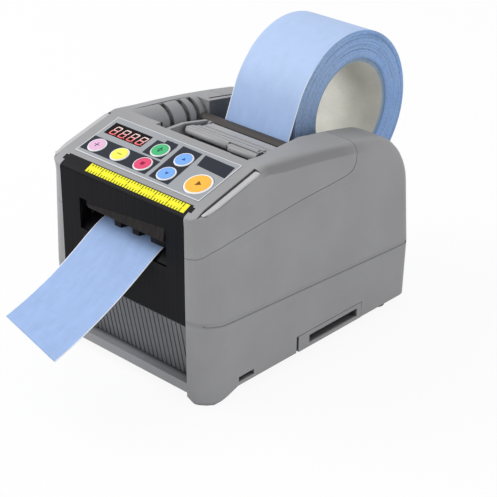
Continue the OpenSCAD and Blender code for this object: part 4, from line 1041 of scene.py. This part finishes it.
class DISPENSER_OT_mechanism(bpy.types.Operator):
    """Finishes the frame plates, shafts, rollers, gears, cutter and motors"""

    bl_idname = "dispenser.mechanism"
    bl_label = "Mechanism"

    def execute(self, context):
        plate = drawn_metal("zinc plate", paint(182, 186, 192), 0.38, (1, 12, 12))
        dress(plate, "frame_left", "frame_right", "guide_plate", "cutter_yoke", edge=0.2)
        bar = turned_metal("ground bar", paint(194, 197, 202), 0.22)
        dress(bar, "tie_rods", "feed_shaft", "cutter_shaft", "cradle_pins")
        steel = drawn_metal("tool steel", paint(212, 216, 222), 0.2, (1, 1, 24))
        dress(steel, "cutter_blade", "fixed_blade", edge=0)
        dress(turned_metal("sintered bronze", paint(184, 146, 92), 0.42), "bushes", edge=0.25)
        brass = turned_metal("turned brass", paint(206, 168, 84), 0.3)
        dress(brass, "feed_pinion", "cutter_pinion", edge=0.1)
        dress(moulded_plastic("acetal", paint(228, 226, 216), 0.36, 0.45), "feed_gear", edge=0.1)
        dress(rubber_skin("roller sleeve", paint(78, 80, 84)), "feed_roller")
        white = moulded_plastic("white rollers", paint(216, 213, 203), 0.34, 0.45)
        dress(white, "press_roller", "guide_roller")
        grey = moulded_plastic("cradle rollers", paint(74, 76, 80), 0.4)
        dress(grey, "cradle_roller_front", "cradle_roller_rear")
        can = drawn_metal("motor cans", paint(150, 154, 160), 0.34, (1, 20, 20))
        dress(can, "feed_motor", "cutter_motor", edge=0.6)
        dress(gloss_plastic("sensor", paint(34, 36, 39), 0.35), "tape_sensor")
        return {"FINISHED"}


class DISPENSER_OT_roll(bpy.types.Operator):
    """Winds the tape roll turn by turn on its paper core"""

    bl_idname = "dispenser.roll"
    bl_label = "Tape roll"

    def execute(self, context):
        colours = look()
        cloth = tape_cloth("tape backing", colours.tape_colour)
        sides = tape_edges("wound edges", colours.wound_colour)
        roll = new_piece("wound_roll", "roll", "tape_wound", [cloth, sides], self.wound, ("tape_roll",))
        board = paper_board("paper core", colours.core_colour)
        rim = paper_board("core ends", paint(150, 170, 192))
        core = new_piece("paper_core", "roll", "cardboard", [board, rim], self.core, ("tape_core",))
        for piece in (roll, core):
            for face in piece.data.polygons:
                face.material_index = 1 if abs(face.normal.x) > SIDE_FACING else 0
        return {"FINISHED"}

    def ring(self, radius, x, ripple=0.0, phase=0.0):
        """A ring round the roll's axis that may ripple sideways."""
        outward = 1 if x > 0 else -1
        points = []
        for i in range(RING_POINTS):
            a = 2 * math.pi * i / RING_POINTS
            wave = math.sin(3 * a + phase) + 0.6 * math.sin(7 * a + 2.3 * phase)
            y, z = ROLL_AXIS[0] + radius * math.cos(a), ROLL_AXIS[1] + radius * math.sin(a)
            points.append(casing_spot(x + ripple * wave * outward, y, z))
        return points

    def wound(self, bm):
        """Both sides turn by turn with a groove between turns, the outer face and the bore."""
        colours = look()
        draw = random.Random(WOUND_SEED)
        half, step = TAPE_W / 2, colours.turn_step / MM
        inner = CORE_R + CORE_FIT
        pitch = (ROLL_R - inner) / colours.turns
        groove, depth, ripple, least = 0.16 * pitch, 0.16, 0.03, 0.05
        skin, uneven, bore_in = 0.02, 0.03, 0.3
        faces = {}
        for side in (1, -1):
            rings = []
            for n in range(colours.turns):
                low = inner + n * pitch
                back = draw.random() * step + least
                phase = draw.random() * WOUND_PHASE
                x = side * (half - back)
                rings.append(self.ring(low + groove, x, ripple, phase))
                rings.append(self.ring(low + pitch - groove, x, ripple, phase))
                if n + 1 < colours.turns:
                    rings.append(self.ring(low + pitch, side * (half - step - depth)))
            faces[side] = rings
        outer = [self.ring(ROLL_R - skin - uneven * (i % 2), half * f) for i, f in enumerate(WOUND_ACROSS)]
        bore = [self.ring(inner, x) for x in (-half + bore_in, half - bore_in)]
        add_turned(bm, faces[1] + outer + faces[-1][::-1] + bore, closed=True)

    def core(self, bm):
        """Paper tube whose ends show their plies."""
        half = TAPE_W / 2 - CORE_IN
        ply = (CORE_R - CORE_FIT - BORE_R) / CORE_PLIES
        groove, depth, uneven = 0.12, 0.2, 0.05
        rings = []
        for side in (1, -1):
            face = []
            for n in range(CORE_PLIES):
                low = BORE_R + n * ply
                x = side * (half - uneven * (n % 2))
                face += [self.ring(low + groove, x), self.ring(low + ply - groove, x),
                         self.ring(low + ply, side * (half - depth))]
            rings += face if side > 0 else face[::-1]
        add_turned(bm, rings, closed=True)


class DISPENSER_OT_strip(bpy.types.Operator):
    """Lays the tape from the roll to the cutting line and hangs its end out of the outlet"""

    bl_idname = "dispenser.strip"
    bl_label = "Tape strip"

    def execute(self, context):
        colours = look()
        thick = colours.tape_thickness
        finishes = [tape_cloth("tape strip", colours.tape_colour),
                    tape_cloth("cut edges", paint(238, 242, 250))]
        path = new_piece("tape_path", "casing", "tape_film", finishes,
                         lambda bm: self.path(bm, thick), ("tape_web",))
        tail = new_piece("tape_end", "casing", "tape_film", finishes,
                         lambda bm: self.tail(bm, thick), ("tape_tail",))
        inside = run_length([spot for spot, _ in self.path_spots()])
        outside = run_length([bezier(TAIL_CONTROL, i / LENGTH_STEPS) for i in range(LENGTH_STEPS + 1)])
        return {"FINISHED"}

    def path_spots(self):
        """Side view of the strip from the roll to the cutter: places, and angles square to it."""
        spots = []
        sunk, rise = 0.3, 0.8
        for i in range(BEND_STEPS + 1):
            t = i / BEND_STEPS
            a = LEAVE_ANGLE + LEAVE_LAP * (1 - t)
            r = ROLL_R - sunk + rise * t ** 2
            spots.append(((ROLL_AXIS[0] - r * math.cos(a), ROLL_AXIS[1] + r * math.sin(a)), math.pi - a))
        for i in range(BEND_STEPS + 1):
            a = -LEAVE_ANGLE - (math.pi / 2 - LEAVE_ANGLE) * i / BEND_STEPS
            spot = (GUIDE_AXIS[0] + GUIDE_WRAP * math.cos(a), GUIDE_AXIS[1] + GUIDE_WRAP * math.sin(a))
            spots.append((spot, a + math.pi))
        run = CUT_Y + CUT_GAP - GUIDE_AXIS[0]
        for i in range(1, WEB_STEPS + 1):
            spots.append(((GUIDE_AXIS[0] + run * i / WEB_STEPS, WEB_Z), math.pi / 2))
        return spots

    def path(self, bm, thick):
        lines = []
        for (y, z), a in self.path_spots():
            normal = Vector((0, math.cos(a), math.sin(a)))
            columns = strip_columns(WEB_COLUMNS)
            lines.append([(casing_spot(TAPE_W / 2 * s, y, z), normal) for s in columns])
        add_strip(bm, lines, thick)

    def tail(self, bm, thick):
        """Hanging end: it drifts, turns and banks a little towards its cut, with a faint wave."""
        spots = [bezier(TAIL_CONTROL, i / TAIL_STEPS) for i in range(TAIL_STEPS + 1)]
        lines = []
        for i, (y, z) in enumerate(spots):
            t = i / TAIL_STEPS
            before, after = spots[max(i - 1, 0)], spots[min(i + 1, TAIL_STEPS)]
            along = Vector((0, after[0] - before[0], after[1] - before[1])).normalized()
            up = Vector((0, along.z, -along.y))
            yaw, bank = TAIL_YAW * t * t, TAIL_BANK * t * t
            line = []
            for s in strip_columns(TAIL_COLUMNS):
                wave = TAIL_WAVE * t * math.sin(9 * t + 1.3 * s) * (1 - t * 0.6)
                side = s * TAPE_W / 2
                x = TAIL_DRIFT * t * t + side * math.cos(yaw)
                place = casing_spot(x, y - side * math.sin(yaw), z - side * math.sin(bank))
                line.append((place + up * (wave * MM), up))
            lines.append(line)
        add_strip(bm, lines, thick)


class DISPENSER_OT_electrics(bpy.types.Operator):
    """Finishes the boards, switches, inlet and the mains rocker"""

    bl_idname = "dispenser.electrics"
    bl_label = "Electrics"

    def execute(self, context):
        boards = circuit_board("boards", paint(40, 100, 64), paint(200, 190, 170))
        dress(boards, "control_board", "main_board")
        dress(gloss_plastic("key switches", paint(50, 52, 57), 0.4), "tact_switches", edge=0.15)
        dress(gloss_plastic("inlet", paint(30, 31, 33), 0.35), "dc_jack")
        dress(gloss_plastic("switch body", paint(29, 30, 32), 0.3), "power_switch")
        dress(gloss_plastic("rocker", paint(38, 39, 42), 0.2), "power_rocker", edge=0.5)
        return {"FINISHED"}


STEPS = (
    DISPENSER_OT_stage, DISPENSER_OT_casing, DISPENSER_OT_front, DISPENSER_OT_panel, DISPENSER_OT_keys,
    DISPENSER_OT_flap, DISPENSER_OT_mechanism, DISPENSER_OT_roll, DISPENSER_OT_strip, DISPENSER_OT_electrics,
)


class DISPENSER_PT_sidebar(bpy.types.Panel):
    """Lists what a user may change and the dispenser's steps"""

    bl_idname = "DISPENSER_PT_sidebar"
    bl_label = "Tape dispenser"
    bl_space_type = "VIEW_3D"
    bl_region_type = "UI"
    bl_category = "Dispenser"

    def draw(self, context):
        for group in (context.scene.dispenser_look, context.scene.dispenser_studio):
            column = self.layout.column()
            for key in group.__annotations__:
                column.prop(group, key)
        column = self.layout.column()
        for step in STEPS:
            column.operator(step.bl_idname)


CLASSES = (DispenserLook, StudioLook, *STEPS, DISPENSER_PT_sidebar)


def register():
    for cls in CLASSES:
        bpy.utils.register_class(cls)
    bpy.types.Scene.dispenser_look = bpy.props.PointerProperty(type=DispenserLook)
    bpy.types.Scene.dispenser_studio = bpy.props.PointerProperty(type=StudioLook)


def unregister():
    del bpy.types.Scene.dispenser_studio
    del bpy.types.Scene.dispenser_look
    for cls in reversed(CLASSES):
        bpy.utils.unregister_class(cls)


def main():
    register()
    for step in STEPS:
        group, name = step.bl_idname.split(".")
        getattr(getattr(bpy.ops, group), name)()


if __name__ == "__main__":
    main()
